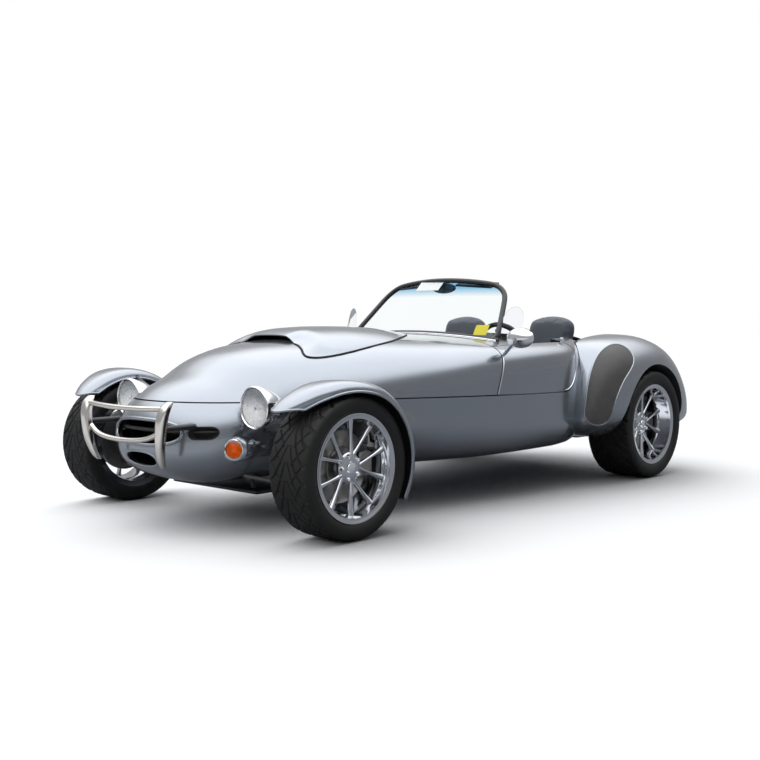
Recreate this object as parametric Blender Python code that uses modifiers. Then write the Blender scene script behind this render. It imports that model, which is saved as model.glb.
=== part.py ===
"""An open two-seat roadster with separate front wings, built from its real panels and running gear.

Metres, +Z up. The nose points along -Y and the driver's side is +X. The origin is on the ground,
under the middle of the overall length and width.
"""
import math

import bmesh
import bpy
import numpy as np
from mathutils import Matrix, Vector

# Overall layout
HALF_LENGTH = 2.000
WHEELBASE = 2.654
FRONT_AXLE_Y = -1.387
REAR_AXLE_Y = FRONT_AXLE_Y + WHEELBASE
FRONT_TRACK = 1.680
REAR_TRACK = 1.617
SEAT_GAP = 0.0003
PANEL_GAP = 0.005
MOVING_GAP = 0.006

# Wheels and tyres
FRONT_TYRE_RADIUS = 0.3266
FRONT_TYRE_WIDTH = 0.245
REAR_TYRE_RADIUS = 0.3319
REAR_TYRE_WIDTH = 0.295
BEAD_RADIUS = 0.2286
LIP_RADIUS = 0.250
BARREL_WALL = 0.007
BEAD_SHARE = 0.43
BEAD_GAP = 0.0004
WHEEL_STEPS = 24
FRONT_DISH = 0.040
REAR_DISH = 0.078
FRONT_SPOKE_REACH = 0.2155
REAR_SPOKE_REACH = 0.2092
HUB_RADIUS = 0.072
SPOKE_PAIRS = 5
DISC_RADIUS = 0.165
DISC_THICKNESS = 0.026
SPINDLE_RADIUS = 0.020
KINGPIN_INSET = 0.055
STEER_LIMIT_DEG = 30.0

# The body: one row for each station along its length, with its half width, the height of its waist, the
# height of its shoulders, how far its middle rises over them, its underside and how square each half is
#     y      half   waist  top    crown  under  upper lower
BODY_STATIONS = (
    (-1.950, 0.440, 0.400, 0.668, 0.000, 0.215, 2.2, 2.6),
    (-1.750, 0.450, 0.425, 0.690, 0.000, 0.208, 2.2, 2.8),
    (-1.600, 0.455, 0.450, 0.724, 0.000, 0.204, 2.2, 2.9),
    (-1.400, 0.470, 0.500, 0.815, 0.000, 0.202, 2.3, 3.0),
    (-1.200, 0.515, 0.530, 0.862, 0.000, 0.200, 2.4, 3.0),
    (-0.800, 0.625, 0.565, 0.880, 0.012, 0.200, 2.8, 3.3),
    (-0.400, 0.730, 0.575, 0.868, 0.030, 0.205, 4.0, 4.2),
    (0.000, 0.795, 0.575, 0.862, 0.042, 0.210, 6.0, 5.5),
    (0.400, 0.810, 0.575, 0.862, 0.042, 0.215, 7.0, 6.0),
    (0.650, 0.780, 0.575, 0.870, 0.030, 0.220, 7.0, 6.5),
    (0.900, 0.652, 0.570, 0.900, 0.000, 0.230, 6.0, 6.5),
    (1.267, 0.622, 0.560, 0.868, 0.000, 0.260, 4.0, 5.0),
    (1.700, 0.600, 0.550, 0.760, 0.000, 0.310, 2.8, 4.0),
    (1.960, 0.560, 0.530, 0.665, 0.000, 0.350, 2.4, 3.0),
)
NOSE_Y = -1.925
NOSE_ROUND = 0.340
TAIL_Y = 1.930
TAIL_ROUND = 0.260
END_POWER = 2.4
CROWN_SHARE = 0.90
OUTER_QUARTER_POINTS = 6
INNER_QUARTER_POINTS = 5
SKIN = 0.020
SHUT_LINE_Z = 0.575
SHUT_LINE_RISE = 0.0165

# Panels that open
DOOR_SEAM_Y = -0.130
DOOR_SEAM_LEAN = 0.30
HOOD_SKIN = 0.014
HOOD_HINGE_Y = -1.900
HOOD_HINGE_Z = 0.585
DOOR_REAR_Y = 0.634
DOOR_INNER_X = 0.690
DOOR_CORNER = 0.150
DOOR_TOP_Z = 0.848
DOOR_HINGE_X = 0.792
COCKPIT_REAR_Y = 1.085
COCKPIT_HALF_WIDTH = 0.600
COCKPIT_CORNER = 0.120
COWL_REAR_Y = 0.190
BOOT_FRONT_Y = 1.220
BOOT_REAR_Y = 1.760
BOOT_HALF_WIDTH = 0.400
RIM_PADS_Y = (-1.20, -0.55, -0.07, 0.42)
BOOT_PADS_X = (-0.24, 0.24)

# Front wings, swept round the front axle: angle back from the top, middle x, half width and radius
WING_ROWS = (
    (-62.0, 0.775, 0.070, 0.426),
    (-45.0, 0.812, 0.105, 0.420),
    (-20.0, 0.845, 0.130, 0.404),
    (10.0, 0.852, 0.133, 0.393),
    (50.0, 0.852, 0.131, 0.394),
    (90.0, 0.850, 0.125, 0.396),
    (118.0, 0.850, 0.112, 0.396),
)
WING_DROP = 0.047
WING_SKIN = 0.010
STAY_RADIUS = 0.011

# Rear wings: y, outer x, top and underside
PONTOON_ROWS = (
    (0.460, 0.925, 0.370, 0.290),
    (0.480, 0.940, 0.400, 0.278),
    (0.550, 0.955, 0.450, 0.262),
    (0.660, 0.965, 0.560, 0.252),
    (0.740, 0.972, 0.690, 0.248),
    (0.900, 0.975, 0.825, 0.245),
    (1.080, 0.975, 0.868, 0.245),
    (1.267, 0.975, 0.878, 0.245),
    (1.450, 0.970, 0.845, 0.250),
    (1.600, 0.945, 0.745, 0.262),
    (1.720, 0.910, 0.620, 0.285),
    (1.790, 0.870, 0.480, 0.330),
)
PONTOON_POWER = 2.7
PONTOON_INNER_X = 0.420
ARCH_RADIUS = 0.372
ARCH_INNER_X = 0.400

# Windscreen: its lower and upper edges
SCREEN_BASE_HALF = 0.580
SCREEN_TOP_HALF = 0.452
SCREEN_BASE_Y = 0.050
SCREEN_TOP_Y = 0.352
SCREEN_BASE_Z = 0.905
SCREEN_TOP_Z = 1.190
SCREEN_BASE_CURVE = 0.080
SCREEN_TOP_CURVE = 0.052
SCREEN_BASE_DROP = 0.050
SCREEN_TOP_DROP = 0.016
SCREEN_FRAME_RADIUS = 0.013
SCREEN_GLASS = 0.006
SCREEN_CORNER = 0.070


def value_at(table, y, column):
    """A smooth curve through one column of a table whose first column is y."""
    ys = [row[0] for row in table]
    vs = [row[column] for row in table]
    count = len(ys)
    if y <= ys[0]:
        return vs[0]
    if y >= ys[-1]:
        return vs[-1]
    i = max(k for k in range(count - 1) if ys[k] <= y)

    def slope(k):
        low, high = max(k - 1, 0), min(k + 1, count - 1)
        return (vs[high] - vs[low]) / (ys[high] - ys[low])

    span = ys[i + 1] - ys[i]
    t = (y - ys[i]) / span
    a = 2 * t**3 - 3 * t**2 + 1
    b = t**3 - 2 * t**2 + t
    c = -2 * t**3 + 3 * t**2
    d = t**3 - t**2
    return a * vs[i] + b * span * slope(i) + c * vs[i + 1] + d * span * slope(i + 1)


def end_round(y, grow=0.0):
    """1 along the body, falling to 0 at the rounded nose and tail."""
    nose = (NOSE_Y - grow + NOSE_ROUND - y) / NOSE_ROUND
    tail = (y - TAIL_Y - grow + TAIL_ROUND) / TAIL_ROUND
    reach = max(nose, tail, 0.0)
    return max(1.0 - reach**END_POWER, 0.0) ** (1.0 / END_POWER)


def body_section(y, grow=0.0):
    """The body's closed outline at y, as a ring of points. Its inner skin has fewer points than its outer one."""
    quadrant = INNER_QUARTER_POINTS if grow < -2 * SEAT_GAP else OUTER_QUARTER_POINTS
    scale = end_round(y, grow)
    half = (value_at(BODY_STATIONS, y, 1) + grow) * scale
    waist = value_at(BODY_STATIONS, y, 2)
    up = (value_at(BODY_STATIONS, y, 3) - waist + grow) * scale
    crown = value_at(BODY_STATIONS, y, 4) * scale
    down = (waist - value_at(BODY_STATIONS, y, 5) + grow) * scale
    upper = value_at(BODY_STATIONS, y, 6)
    lower = value_at(BODY_STATIONS, y, 7)
    ring = []
    for k in range(4 * quadrant):
        angle = 0.5 * math.pi * k / quadrant
        c, s = math.cos(angle), math.sin(angle)
        power = upper if s >= 0 else lower
        size = (abs(c) ** power + abs(s) ** power) ** (1 / power)
        x = half * c / size
        rise = crown * max(1 - (c / size / CROWN_SHARE) ** 2, 0.0) ** 1.5 if s > 0 else 0.0
        ring.append((x, y, waist + (up if s >= 0 else down) * s / size + rise))
    return ring


def body_top(x, y):
    """Height of the body's upper surface above the point (x, y)."""
    scale = end_round(y)
    half = value_at(BODY_STATIONS, y, 1) * scale
    waist = value_at(BODY_STATIONS, y, 2)
    up = (value_at(BODY_STATIONS, y, 3) - waist) * scale
    crown = value_at(BODY_STATIONS, y, 4) * scale
    power = value_at(BODY_STATIONS, y, 6)
    share = min(abs(x) / half, 1.0)
    rise = crown * max(1 - (share / CROWN_SHARE) ** 2, 0.0) ** 1.5
    return waist + up * (1 - share**power) ** (1 / power) + rise


def shut_line(y):
    return SHUT_LINE_Z - SHUT_LINE_RISE * y


# Blender helpers

def clear_scene():
    for obj in list(bpy.data.objects):
        bpy.data.objects.remove(obj, do_unlink=True)


def collection(name):
    made = bpy.data.collections.new(name)
    bpy.context.scene.collection.children.link(made)
    return made


def material(name, colour, roughness, metallic=0.0, alpha=1.0):
    made = bpy.data.materials.new(name)
    made.use_nodes = True
    shader = made.node_tree.nodes["Principled BSDF"]
    shader.inputs["Base Color"].default_value = (*colour, 1.0)
    shader.inputs["Roughness"].default_value = roughness
    shader.inputs["Metallic"].default_value = metallic
    shader.inputs["Alpha"].default_value = alpha
    return made


def mesh_object(name, points, faces):
    mesh = bpy.data.meshes.new(name)
    mesh.from_pydata([tuple(p) for p in points], [], faces)
    mesh.validate()
    mesh.update()
    obj = bpy.data.objects.new(name, mesh)
    bpy.context.scene.collection.objects.link(obj)
    return obj


def fixed(obj):
    """Replaces an object's mesh by the one its modifiers make, in world space."""
    graph = bpy.context.evaluated_depsgraph_get()
    graph.update()
    mesh = bpy.data.meshes.new_from_object(obj.evaluated_get(graph))
    mesh.transform(obj.matrix_world)
    name = obj.name
    bpy.data.objects.remove(obj, do_unlink=True)
    made = bpy.data.objects.new(name, mesh)
    bpy.context.scene.collection.objects.link(made)
    return made


def cleaned(obj, merge=1e-5, flat=False):
    """Welds a mesh and turns its faces outward. With flat, its faces become triangles, which can't be twisted."""
    work = bmesh.new()
    work.from_mesh(obj.data)
    bmesh.ops.remove_doubles(work, verts=work.verts, dist=merge)
    bmesh.ops.dissolve_degenerate(work, edges=work.edges, dist=1e-6)
    if flat:
        bmesh.ops.triangulate(work, faces=work.faces, quad_method="FIXED")
    bmesh.ops.recalc_face_normals(work, faces=work.faces)
    work.to_mesh(obj.data)
    work.free()
    return obj


def boolean(obj, tools, operation):
    """Joins, cuts or keeps the common part of obj and each tool, and removes the tools."""
    for tool in tools if isinstance(tools, (list, tuple)) else [tools]:
        modifier = obj.modifiers.new("boolean", "BOOLEAN")
        modifier.operation = operation
        modifier.solver = "EXACT"
        modifier.object = tool
        bpy.context.view_layer.update()
        obj = fixed(obj)
        bpy.data.objects.remove(tool, do_unlink=True)
    return obj


def joined(obj, *tools):
    return boolean(obj, list(tools), "UNION")


def cut(obj, *tools):
    return boolean(obj, list(tools), "DIFFERENCE")


def common(obj, tool):
    return boolean(obj, tool, "INTERSECT")


def copied(obj, name=None):
    made = obj.copy()
    made.data = obj.data.copy()
    if name:
        made.name = name
    bpy.context.scene.collection.objects.link(made)
    return made


def moved(obj, matrix):
    obj.data.transform(matrix)
    if matrix.determinant() < 0:
        obj.data.flip_normals()
    obj.data.update()
    return obj


def mirrored(obj, name):
    """The same piece on the other side of the car."""
    made = copied(obj, name)
    return moved(made, Matrix.Scale(-1, 4, (1, 0, 0)))


def loft(name, rings):
    """A closed skin through rings that have the same number of points. Its two sides are mirror images where the
    rings' are, because each four-sided patch is split along the diagonal that matches."""
    count = len(rings[0])
    points = [p for ring in rings for p in ring]
    faces = []
    for r in range(len(rings) - 1):
        for k in range(count):
            a = r * count + k
            b = r * count + (k + 1) % count
            if points[a][0] + points[b][0] >= 0:
                faces += [(a, b, b + count), (a, b + count, a + count)]
            else:
                faces += [(a, b, a + count), (b, b + count, a + count)]
    faces.append(tuple(reversed(range(count))))
    faces.append(tuple(range((len(rings) - 1) * count, len(rings) * count)))
    return cleaned(mesh_object(name, points, faces), flat=True)


def grid(name, rows):
    """An open skin through rows of points."""
    count = len(rows[0])
    points = [p for row in rows for p in row]
    faces = [
        (r * count + k, r * count + k + 1, (r + 1) * count + k + 1, (r + 1) * count + k)
        for r in range(len(rows) - 1)
        for k in range(count - 1)
    ]
    return mesh_object(name, points, faces)


def solidified(obj, thickness, offset=-1.0):
    modifier = obj.modifiers.new("solidify", "SOLIDIFY")
    modifier.thickness = thickness
    modifier.offset = offset
    modifier.use_even_offset = True
    modifier.use_quality_normals = True
    return cleaned(fixed(obj))


def box(name, low, high, bevel=0.0, segments=1):
    work = bmesh.new()
    bmesh.ops.create_cube(work, size=1.0)
    size = Vector(high) - Vector(low)
    middle = (Vector(high) + Vector(low)) / 2
    for v in work.verts:
        v.co = Vector((v.co.x * size.x, v.co.y * size.y, v.co.z * size.z)) + middle
    if bevel:
        bmesh.ops.bevel(work, geom=work.edges, offset=bevel, segments=segments, affect="EDGES", profile=0.5)
    mesh = bpy.data.meshes.new(name)
    work.to_mesh(mesh)
    work.free()
    obj = bpy.data.objects.new(name, mesh)
    bpy.context.scene.collection.objects.link(obj)
    return obj


def rod(name, start, end, radius, end_radius=None, sides=16):
    """A round bar or cone between two points."""
    start, end = Vector(start), Vector(end)
    axis = end - start
    work = bmesh.new()
    bmesh.ops.create_cone(
        work, cap_ends=True, segments=sides, radius1=radius,
        radius2=radius if end_radius is None else end_radius, depth=axis.length,
    )
    turn = Vector((0, 0, 1)).rotation_difference(axis.normalized()).to_matrix().to_4x4()
    work.transform(Matrix.Translation((start + end) / 2) @ turn)
    mesh = bpy.data.meshes.new(name)
    work.to_mesh(mesh)
    work.free()
    obj = bpy.data.objects.new(name, mesh)
    bpy.context.scene.collection.objects.link(obj)
    return obj


def turned(name, profile, steps, closed=True):
    """A shape turned about Z from (radius, height) points, by a Screw modifier."""
    points = [(r, 0.0, h) for r, h in profile]
    edges = [(i, i + 1) for i in range(len(points) - 1)]
    if closed:
        edges.append((len(points) - 1, 0))
    mesh = bpy.data.meshes.new(name)
    mesh.from_pydata(points, edges, [])
    obj = bpy.data.objects.new(name, mesh)
    bpy.context.scene.collection.objects.link(obj)
    screw = obj.modifiers.new("screw", "SCREW")
    screw.steps = steps
    screw.render_steps = steps
    screw.use_merge_vertices = True
    screw.merge_threshold = 0.00005
    return cleaned(fixed(obj))


def along_x(obj, at=(0, 0, 0), side=1):
    """Turns a Z-axis shape so that its +Z points to the car's side (+1 left, -1 right)."""
    turn = Matrix.Rotation(math.radians(90 * side), 4, "Y")
    return moved(obj, Matrix.Translation(at) @ turn)


def tube(name, points, radius, cyclic=False, sides=4, smooth=0):
    """A pipe along points, as a bevelled curve made into a mesh."""
    data = bpy.data.curves.new(name, "CURVE")
    data.dimensions = "3D"
    spline = data.splines.new("POLY")
    spline.points.add(len(points) - 1)
    for p, co in zip(spline.points, points):
        p.co = (*co, 1.0)
    spline.use_cyclic_u = cyclic
    data.bevel_depth = radius
    data.bevel_resolution = sides
    data.use_fill_caps = not cyclic
    obj = bpy.data.objects.new(name, data)
    bpy.context.scene.collection.objects.link(obj)
    bpy.context.view_layer.update()
    return cleaned(fixed(obj))


def smooth_path(points, per_span=4):
    """Points on a smooth curve through a few points chosen by hand."""
    pts = [Vector(p) for p in points]
    path = []
    for i in range(len(pts) - 1):
        p0, p1, p2, p3 = pts[max(i - 1, 0)], pts[i], pts[i + 1], pts[min(i + 2, len(pts) - 1)]
        for k in range(per_span):
            t = k / per_span
            path.append(0.5 * ((2 * p1) + (p2 - p0) * t + (2 * p0 - 5 * p1 + 4 * p2 - p3) * t**2
                               + (3 * p1 - p0 - 3 * p2 + p3) * t**3))
    path.append(pts[-1])
    return path


def plate(name, outline, depth, plane="YZ", at=0.0, centred=True):
    """A flat outline of (a, b) points, extruded by depth across its plane."""
    half = depth / 2 if centred else 0.0
    low, high = (at - half, at + half) if centred else (at, at + depth)
    place = {
        "YZ": lambda a, b, d: (d, a, b),
        "XZ": lambda a, b, d: (a, d, b),
        "XY": lambda a, b, d: (a, b, d),
    }[plane]
    rings = [[place(a, b, low) for a, b in outline], [place(a, b, high) for a, b in outline]]
    return loft(name, rings)


def rounded_rectangle(low, high, radius, steps=5):
    """Outline points of a rectangle with round corners."""
    corners = (
        (high[0] - radius, high[1] - radius, 0), (low[0] + radius, high[1] - radius, 90),
        (low[0] + radius, low[1] + radius, 180), (high[0] - radius, low[1] + radius, 270),
    )
    outline = []
    for cx, cy, start in corners:
        for k in range(steps + 1):
            angle = math.radians(start + 90 * k / steps)
            outline.append((cx + radius * math.cos(angle), cy + radius * math.sin(angle)))
    return outline


def finished(obj, name, look, group, pivot=(0, 0, 0), parent=None):
    """Names a piece, gives it its material and its origin, and puts it in the car's collection."""
    obj.name = name
    obj.data.name = name
    obj.data.materials.clear()
    obj.data.materials.append(look)
    for user in list(obj.users_collection):
        user.objects.unlink(obj)
    group.objects.link(obj)
    obj.data.transform(Matrix.Translation(-Vector(pivot)))
    obj.location = Vector(pivot)
    if parent is not None:
        obj.parent = parent
        obj.matrix_parent_inverse = parent.matrix_world.inverted()
    obj.data.shade_smooth()
    obj.data.set_sharp_from_angle(angle=math.radians(35))
    return obj


def empty(name, at, group, parent=None):
    made = bpy.data.objects.new(name, None)
    made.location = Vector(at)
    group.objects.link(made)
    bpy.context.view_layer.update()
    if parent is not None:
        made.parent = parent
        made.matrix_parent_inverse = parent.matrix_world.inverted()
    bpy.context.view_layer.update()
    return made


# Shapes cut from the body

NOSE_STEPS = (0.003, 0.020, 0.055, 0.110, 0.190)
TAIL_STEPS = (0.200, 0.110, 0.050, 0.018, 0.003)
MIDDLE_STATIONS = (-1.58, -1.40, -1.20, -0.96, -0.70, -0.40, -0.08, 0.25, 0.52, 0.70, 0.86, 1.04, 1.28, 1.52)


def body_solid(name, grow=0.0):
    """The whole body as one solid, grown or shrunk by a distance all round."""
    ys = [NOSE_Y - grow + step for step in NOSE_STEPS]
    ys += MIDDLE_STATIONS
    ys += [TAIL_Y + grow - step for step in TAIL_STEPS]
    return loft(name, [body_section(y, grow) for y in ys])


def upper_region(offset):
    """Everything over the shut line and ahead of the doors' rear edge, drawn in by an offset."""
    middle = DOOR_REAR_Y - DOOR_CORNER
    centre_z = shut_line(middle) + DOOR_CORNER
    radius = DOOR_CORNER - offset
    outline = [(-2.3, shut_line(-2.3) + offset), (middle, shut_line(middle) + offset)]
    for k in range(1, 7):
        angle = math.radians(-90 + 15 * k)
        outline.append((middle + radius * math.cos(angle), centre_z + radius * math.sin(angle)))
    outline += [(DOOR_REAR_Y - offset, 1.4), (-2.3, 1.4)]
    return plate("upper_region", outline, 2.4)


def seam_region(offset, ahead):
    """Everything ahead of, or behind, the leaning seam between the hood and the doors."""
    low, high = 0.2, 1.4
    seam = [(DOOR_SEAM_Y + DOOR_SEAM_LEAN * (z - SHUT_LINE_Z) + offset, z) for z in (low, high)]
    end = -2.3 if ahead else 2.3
    return plate("seam_region", [(end, low), *seam, (end, high)], 2.4)


def wheel_cutter(y, z, radius, inner_x, side):
    """A cylinder along X, from inner_x outward, to open a wheel arch."""
    return rod("arch", (side * inner_x, y, z), (side * 1.3, y, z), radius, sides=36)


# The body and its panels

def make_lower_body():
    body = cut(body_solid("lower_body"), body_solid("inside", -SKIN))
    body = cut(body, upper_region(-PANEL_GAP / 2))
    cockpit = rounded_rectangle((-COCKPIT_HALF_WIDTH, -0.3), (COCKPIT_HALF_WIDTH, COCKPIT_REAR_Y), COCKPIT_CORNER)
    body = cut(body, plate("cockpit", cockpit, 0.8, "XY", 0.6, False))
    boot = rounded_rectangle((-BOOT_HALF_WIDTH, BOOT_FRONT_Y), (BOOT_HALF_WIDTH, BOOT_REAR_Y), 0.06)
    body = cut(body, plate("boot", boot, 0.8, "XY", 0.6, False))
    mouth = rounded_rectangle((-0.30, 0.425), (0.30, 0.505), 0.038)
    body = cut(body, plate("mouth", mouth, 0.5, "XZ", -2.1, False))
    duct = rounded_rectangle((-0.13, 0.305), (0.13, 0.365), 0.029)
    body = cut(body, plate("duct", duct, 0.4, "XZ", -2.1, False))
    body = cut(body, rod("tie_rod_hole", (-0.8, TIE_ROD_Y, TIE_ROD_Z), (0.8, TIE_ROD_Y, TIE_ROD_Z), 0.018, sides=16))
    # Rest pads on the rim, which the hood, the doors and the boot lid close on.
    for y in RIM_PADS_Y:
        pad = cut(body_solid("pad", -0.006), body_solid("inside", -0.0125))
        pad = common(pad, box("span", (-1.0, y - 0.015, SHUT_LINE_Z - 0.030), (1.0, y + 0.015, 0.640)))
        body = joined(body, cut(pad, upper_region(PANEL_GAP / 2 - SEAT_GAP)))
    for x in BOOT_PADS_X:
        pad = cut(body_solid("pad", -HOOD_SKIN - SEAT_GAP), body_solid("inside", -SKIN + 0.0007))
        span = box("span", (x - 0.020, BOOT_REAR_Y - 0.022, 0.6), (x + 0.020, BOOT_REAR_Y + 0.012, 1.0))
        body = joined(body, common(pad, span))
    return body


def make_hood():
    hood = common(body_solid("hood"), upper_region(PANEL_GAP / 2))
    hood = common(hood, seam_region(-PANEL_GAP / 2, ahead=True))
    return cut(hood, body_solid("inside", -HOOD_SKIN))


def make_door():
    door = common(body_solid("door"), upper_region(PANEL_GAP / 2))
    door = common(door, seam_region(PANEL_GAP / 2, ahead=False))
    # Its rear edge is turned about the hinge, so that it swings out past the jamb.
    hinge_y = DOOR_SEAM_Y + PANEL_GAP
    reach = DOOR_REAR_Y - PANEL_GAP / 2 - hinge_y
    door = common(door, rod("swing", (DOOR_HINGE_X, hinge_y, 0.4), (DOOR_HINGE_X, hinge_y, 1.3), reach, sides=120))
    return common(door, box("side", (DOOR_INNER_X, -0.4, 0.4), (1.0, 0.8, 1.3)))


def make_boot_lid():
    outline = rounded_rectangle(
        (-BOOT_HALF_WIDTH + PANEL_GAP, BOOT_FRONT_Y + PANEL_GAP),
        (BOOT_HALF_WIDTH - PANEL_GAP, BOOT_REAR_Y - PANEL_GAP), 0.055,
    )
    lid = common(body_solid("boot_lid"), plate("edge", outline, 0.8, "XY", 0.6, False))
    return cut(lid, body_solid("inside", -HOOD_SKIN))


def make_tub():
    """Floor, sills, tunnel, firewall, rear bulkhead and the cowl that the windscreen stands on."""
    inner = 0.600
    tub = box("tub", (-0.9, -0.26, 0.15), (0.9, COCKPIT_REAR_Y + 0.025, 0.555))
    tub = joined(tub, box("bulkhead", (-0.9, COCKPIT_REAR_Y + 0.002, 0.4), (0.9, COCKPIT_REAR_Y + 0.025, 1.0)))
    for side in (-1, 1):
        low, high = sorted((side * (inner + 0.004), side * 0.9))
        tub = joined(tub, box("post", (low, DOOR_REAR_Y + 0.028, 0.5), (high, COCKPIT_REAR_Y + 0.025, 0.86)))
    tub = common(tub, body_solid("inside", -SKIN - SEAT_GAP))
    seam = [DOOR_SEAM_Y + DOOR_SEAM_LEAN * (z - SHUT_LINE_Z) + PANEL_GAP / 2 for z in (0.74, 1.1)]
    outline = [(-0.257, 0.50), (-0.257, 0.74), (seam[0], 0.74), (seam[1], 1.1), (COWL_REAR_Y, 1.1),
               (COWL_REAR_Y, 0.80), (0.0, 0.70), (-0.203, 0.64), (-0.203, 0.50)]
    cowl = common(plate("cowl", outline, 2 * (DOOR_INNER_X - PANEL_GAP)), body_solid("outside"))
    tub = joined(tub, cowl)
    for side in (-1, 1):
        low, high = sorted((side * (inner + 0.003), side * (DOOR_INNER_X - PANEL_GAP - 0.003)))
        tub = joined(tub, box("hinge_post", (low, -0.255, 0.45), (high, -0.02, 0.735)))
        low, high = sorted((side * 0.13, side * inner))
        tub = cut(tub, box("footwell", (low, -0.20, TUB_FLOOR_Z), (high, COCKPIT_REAR_Y, 0.50)))
    return cut(tub, box("cabin", (-inner, -0.20, 0.46), (inner, COCKPIT_REAR_Y, 0.60)))


def make_rear_wing():
    rings = []
    centre_x = 0.62
    for y, outer, top, under in PONTOON_ROWS:
        middle, half_height, reach = (top + under) / 2, (top - under) / 2, outer - centre_x
        ring = [(PONTOON_INNER_X, y, under + 0.03), (centre_x - 0.02, y, under)]
        for k in range(11):
            angle = math.radians(-90 + 18 * k)
            c, s = math.cos(angle), math.sin(angle)
            size = (abs(c) ** PONTOON_POWER + abs(s) ** PONTOON_POWER) ** (1 / PONTOON_POWER)
            ring.append((centre_x + reach * max(c, 0.0) / size, y, middle + half_height * s / size))
        ring.append((PONTOON_INNER_X, y, middle + 0.20 * half_height))
        rings.append(ring)
    wing = loft("rear_wing", rings)
    wing = cut(wing, body_solid("body", SEAT_GAP))
    return cut(wing, wheel_cutter(REAR_AXLE_Y, REAR_TYRE_RADIUS, ARCH_RADIUS, ARCH_INNER_X, 1))


def wing_row(angle, column):
    return value_at(WING_ROWS, angle, column)


def make_front_wing():
    """A thin blade over the wheel, swept round the axle and drawn down at both edges, with its two stays."""
    centre = Vector((0, FRONT_AXLE_Y, FRONT_TYRE_RADIUS))
    rows = []
    angles = [WING_ROWS[0][0] + (WING_ROWS[-1][0] - WING_ROWS[0][0]) * k / 14 for k in range(15)]
    for angle in angles:
        turn = math.radians(angle)
        row = []
        for k in range(7):
            t = -1 + 2 * k / 6
            radius = wing_row(angle, 3) - WING_DROP * abs(t) ** 2.6
            row.append((
                wing_row(angle, 1) + wing_row(angle, 2) * math.sin(t * math.pi / 2),
                centre.y + radius * math.sin(turn),
                centre.z + radius * math.cos(turn),
            ))
        rows.append(row)
    wing = solidified(grid("front_wing", rows), WING_SKIN)
    upper = rod("stay", (0.745, FRONT_AXLE_Y, 0.684), (0.44, FRONT_AXLE_Y, 0.545), STAY_RADIUS, sides=8)
    lower = rod("stay", (0.80, -1.006, 0.36), (0.50, -0.985, 0.38), STAY_RADIUS, sides=8)
    wing = joined(wing, upper, lower)
    return cut(wing, body_solid("body", SEAT_GAP))


# The windscreen

def screen_point(u, v):
    half = SCREEN_BASE_HALF + (SCREEN_TOP_HALF - SCREEN_BASE_HALF) * v
    curve = SCREEN_BASE_CURVE + (SCREEN_TOP_CURVE - SCREEN_BASE_CURVE) * v
    drop = SCREEN_BASE_DROP + (SCREEN_TOP_DROP - SCREEN_BASE_DROP) * v
    return (
        half * u,
        SCREEN_BASE_Y + (SCREEN_TOP_Y - SCREEN_BASE_Y) * v + curve * u * u,
        SCREEN_BASE_Z + (SCREEN_TOP_Z - SCREEN_BASE_Z) * v - drop * u * u,
    )


SCREEN_RISE = math.hypot(SCREEN_TOP_Y - SCREEN_BASE_Y, SCREEN_TOP_Z - SCREEN_BASE_Z)


def screen_reach(v, inset):
    """How far across the glass reaches at height v, with round upper corners and an inset edge."""
    half = SCREEN_BASE_HALF + (SCREEN_TOP_HALF - SCREEN_BASE_HALF) * v
    straight = 1 - SCREEN_CORNER / SCREEN_RISE
    if v <= straight:
        return 1 - inset / half
    rise = (v - straight) * SCREEN_RISE
    radius = SCREEN_CORNER - inset
    return (half - SCREEN_CORNER + math.sqrt(max(radius**2 - rise**2, 0.0))) / half


def make_windscreen():
    path = [screen_point(u / 5, 0) for u in range(-5, 5)]
    straight = 1 - SCREEN_CORNER / SCREEN_RISE
    side = [(1.0, straight * k / 2) for k in range(3)]
    top_half = SCREEN_TOP_HALF + (SCREEN_BASE_HALF - SCREEN_TOP_HALF) * (1 - straight) * 0.5
    for k in range(1, 4):
        angle = math.radians(90 * k / 3)
        side.append((
            1 - SCREEN_CORNER * (1 - math.cos(angle)) / top_half,
            straight + (1 - straight) * math.sin(angle),
        ))
    path += [screen_point(u, v) for u, v in side]
    edge = side[-1][0]
    path += [screen_point(edge * (1 - k / 3), 1.0) for k in range(1, 6)]
    path += [screen_point(-u, v) for u, v in reversed(side[1:])]
    frame = tube("windscreen_frame", path, SCREEN_FRAME_RADIUS, cyclic=True, sides=1)
    frame = cut(frame, body_solid("body", SEAT_GAP))

    inset = SCREEN_FRAME_RADIUS + SEAT_GAP
    low = (inset + 0.002) / SCREEN_RISE
    heights = [low + (straight - low) * k / 3 for k in range(4)]
    last = 1 - inset / SCREEN_RISE
    heights += [straight + (last - straight) * math.sin(math.radians(a)) for a in (30, 60, 88)]
    heights = sorted(h for h in heights if h <= last)
    rows = [[screen_point(screen_reach(v, inset + 0.001) * (k / 5 - 1), v) for k in range(11)] for v in heights]
    glass = solidified(grid("windscreen_glass", rows), SCREEN_GLASS, offset=0.0)
    glass = cut(glass, body_solid("body", SEAT_GAP))
    return frame, glass


# Wheels, tyres and what carries them

def make_tyre(radius, width):
    """A tyre about Z, with square shoulders and beads that sit between the rim's flanges."""
    half = width / 2
    bead = BEAD_RADIUS + BEAD_GAP
    inside = BEAD_SHARE * width - BEAD_GAP
    flange = LIP_RADIUS + 0.0015
    side = [(bead, 0.36 * width), (bead, inside), (flange, inside), (radius - 0.040, half),
            (radius - 0.008, half - 0.014), (radius, 0.30 * width)]
    profile = [(r, -h) for r, h in side] + side[::-1] + [(radius - 0.030, 0.0)]
    return turned("tyre", profile[::-1], WHEEL_STEPS)


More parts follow.
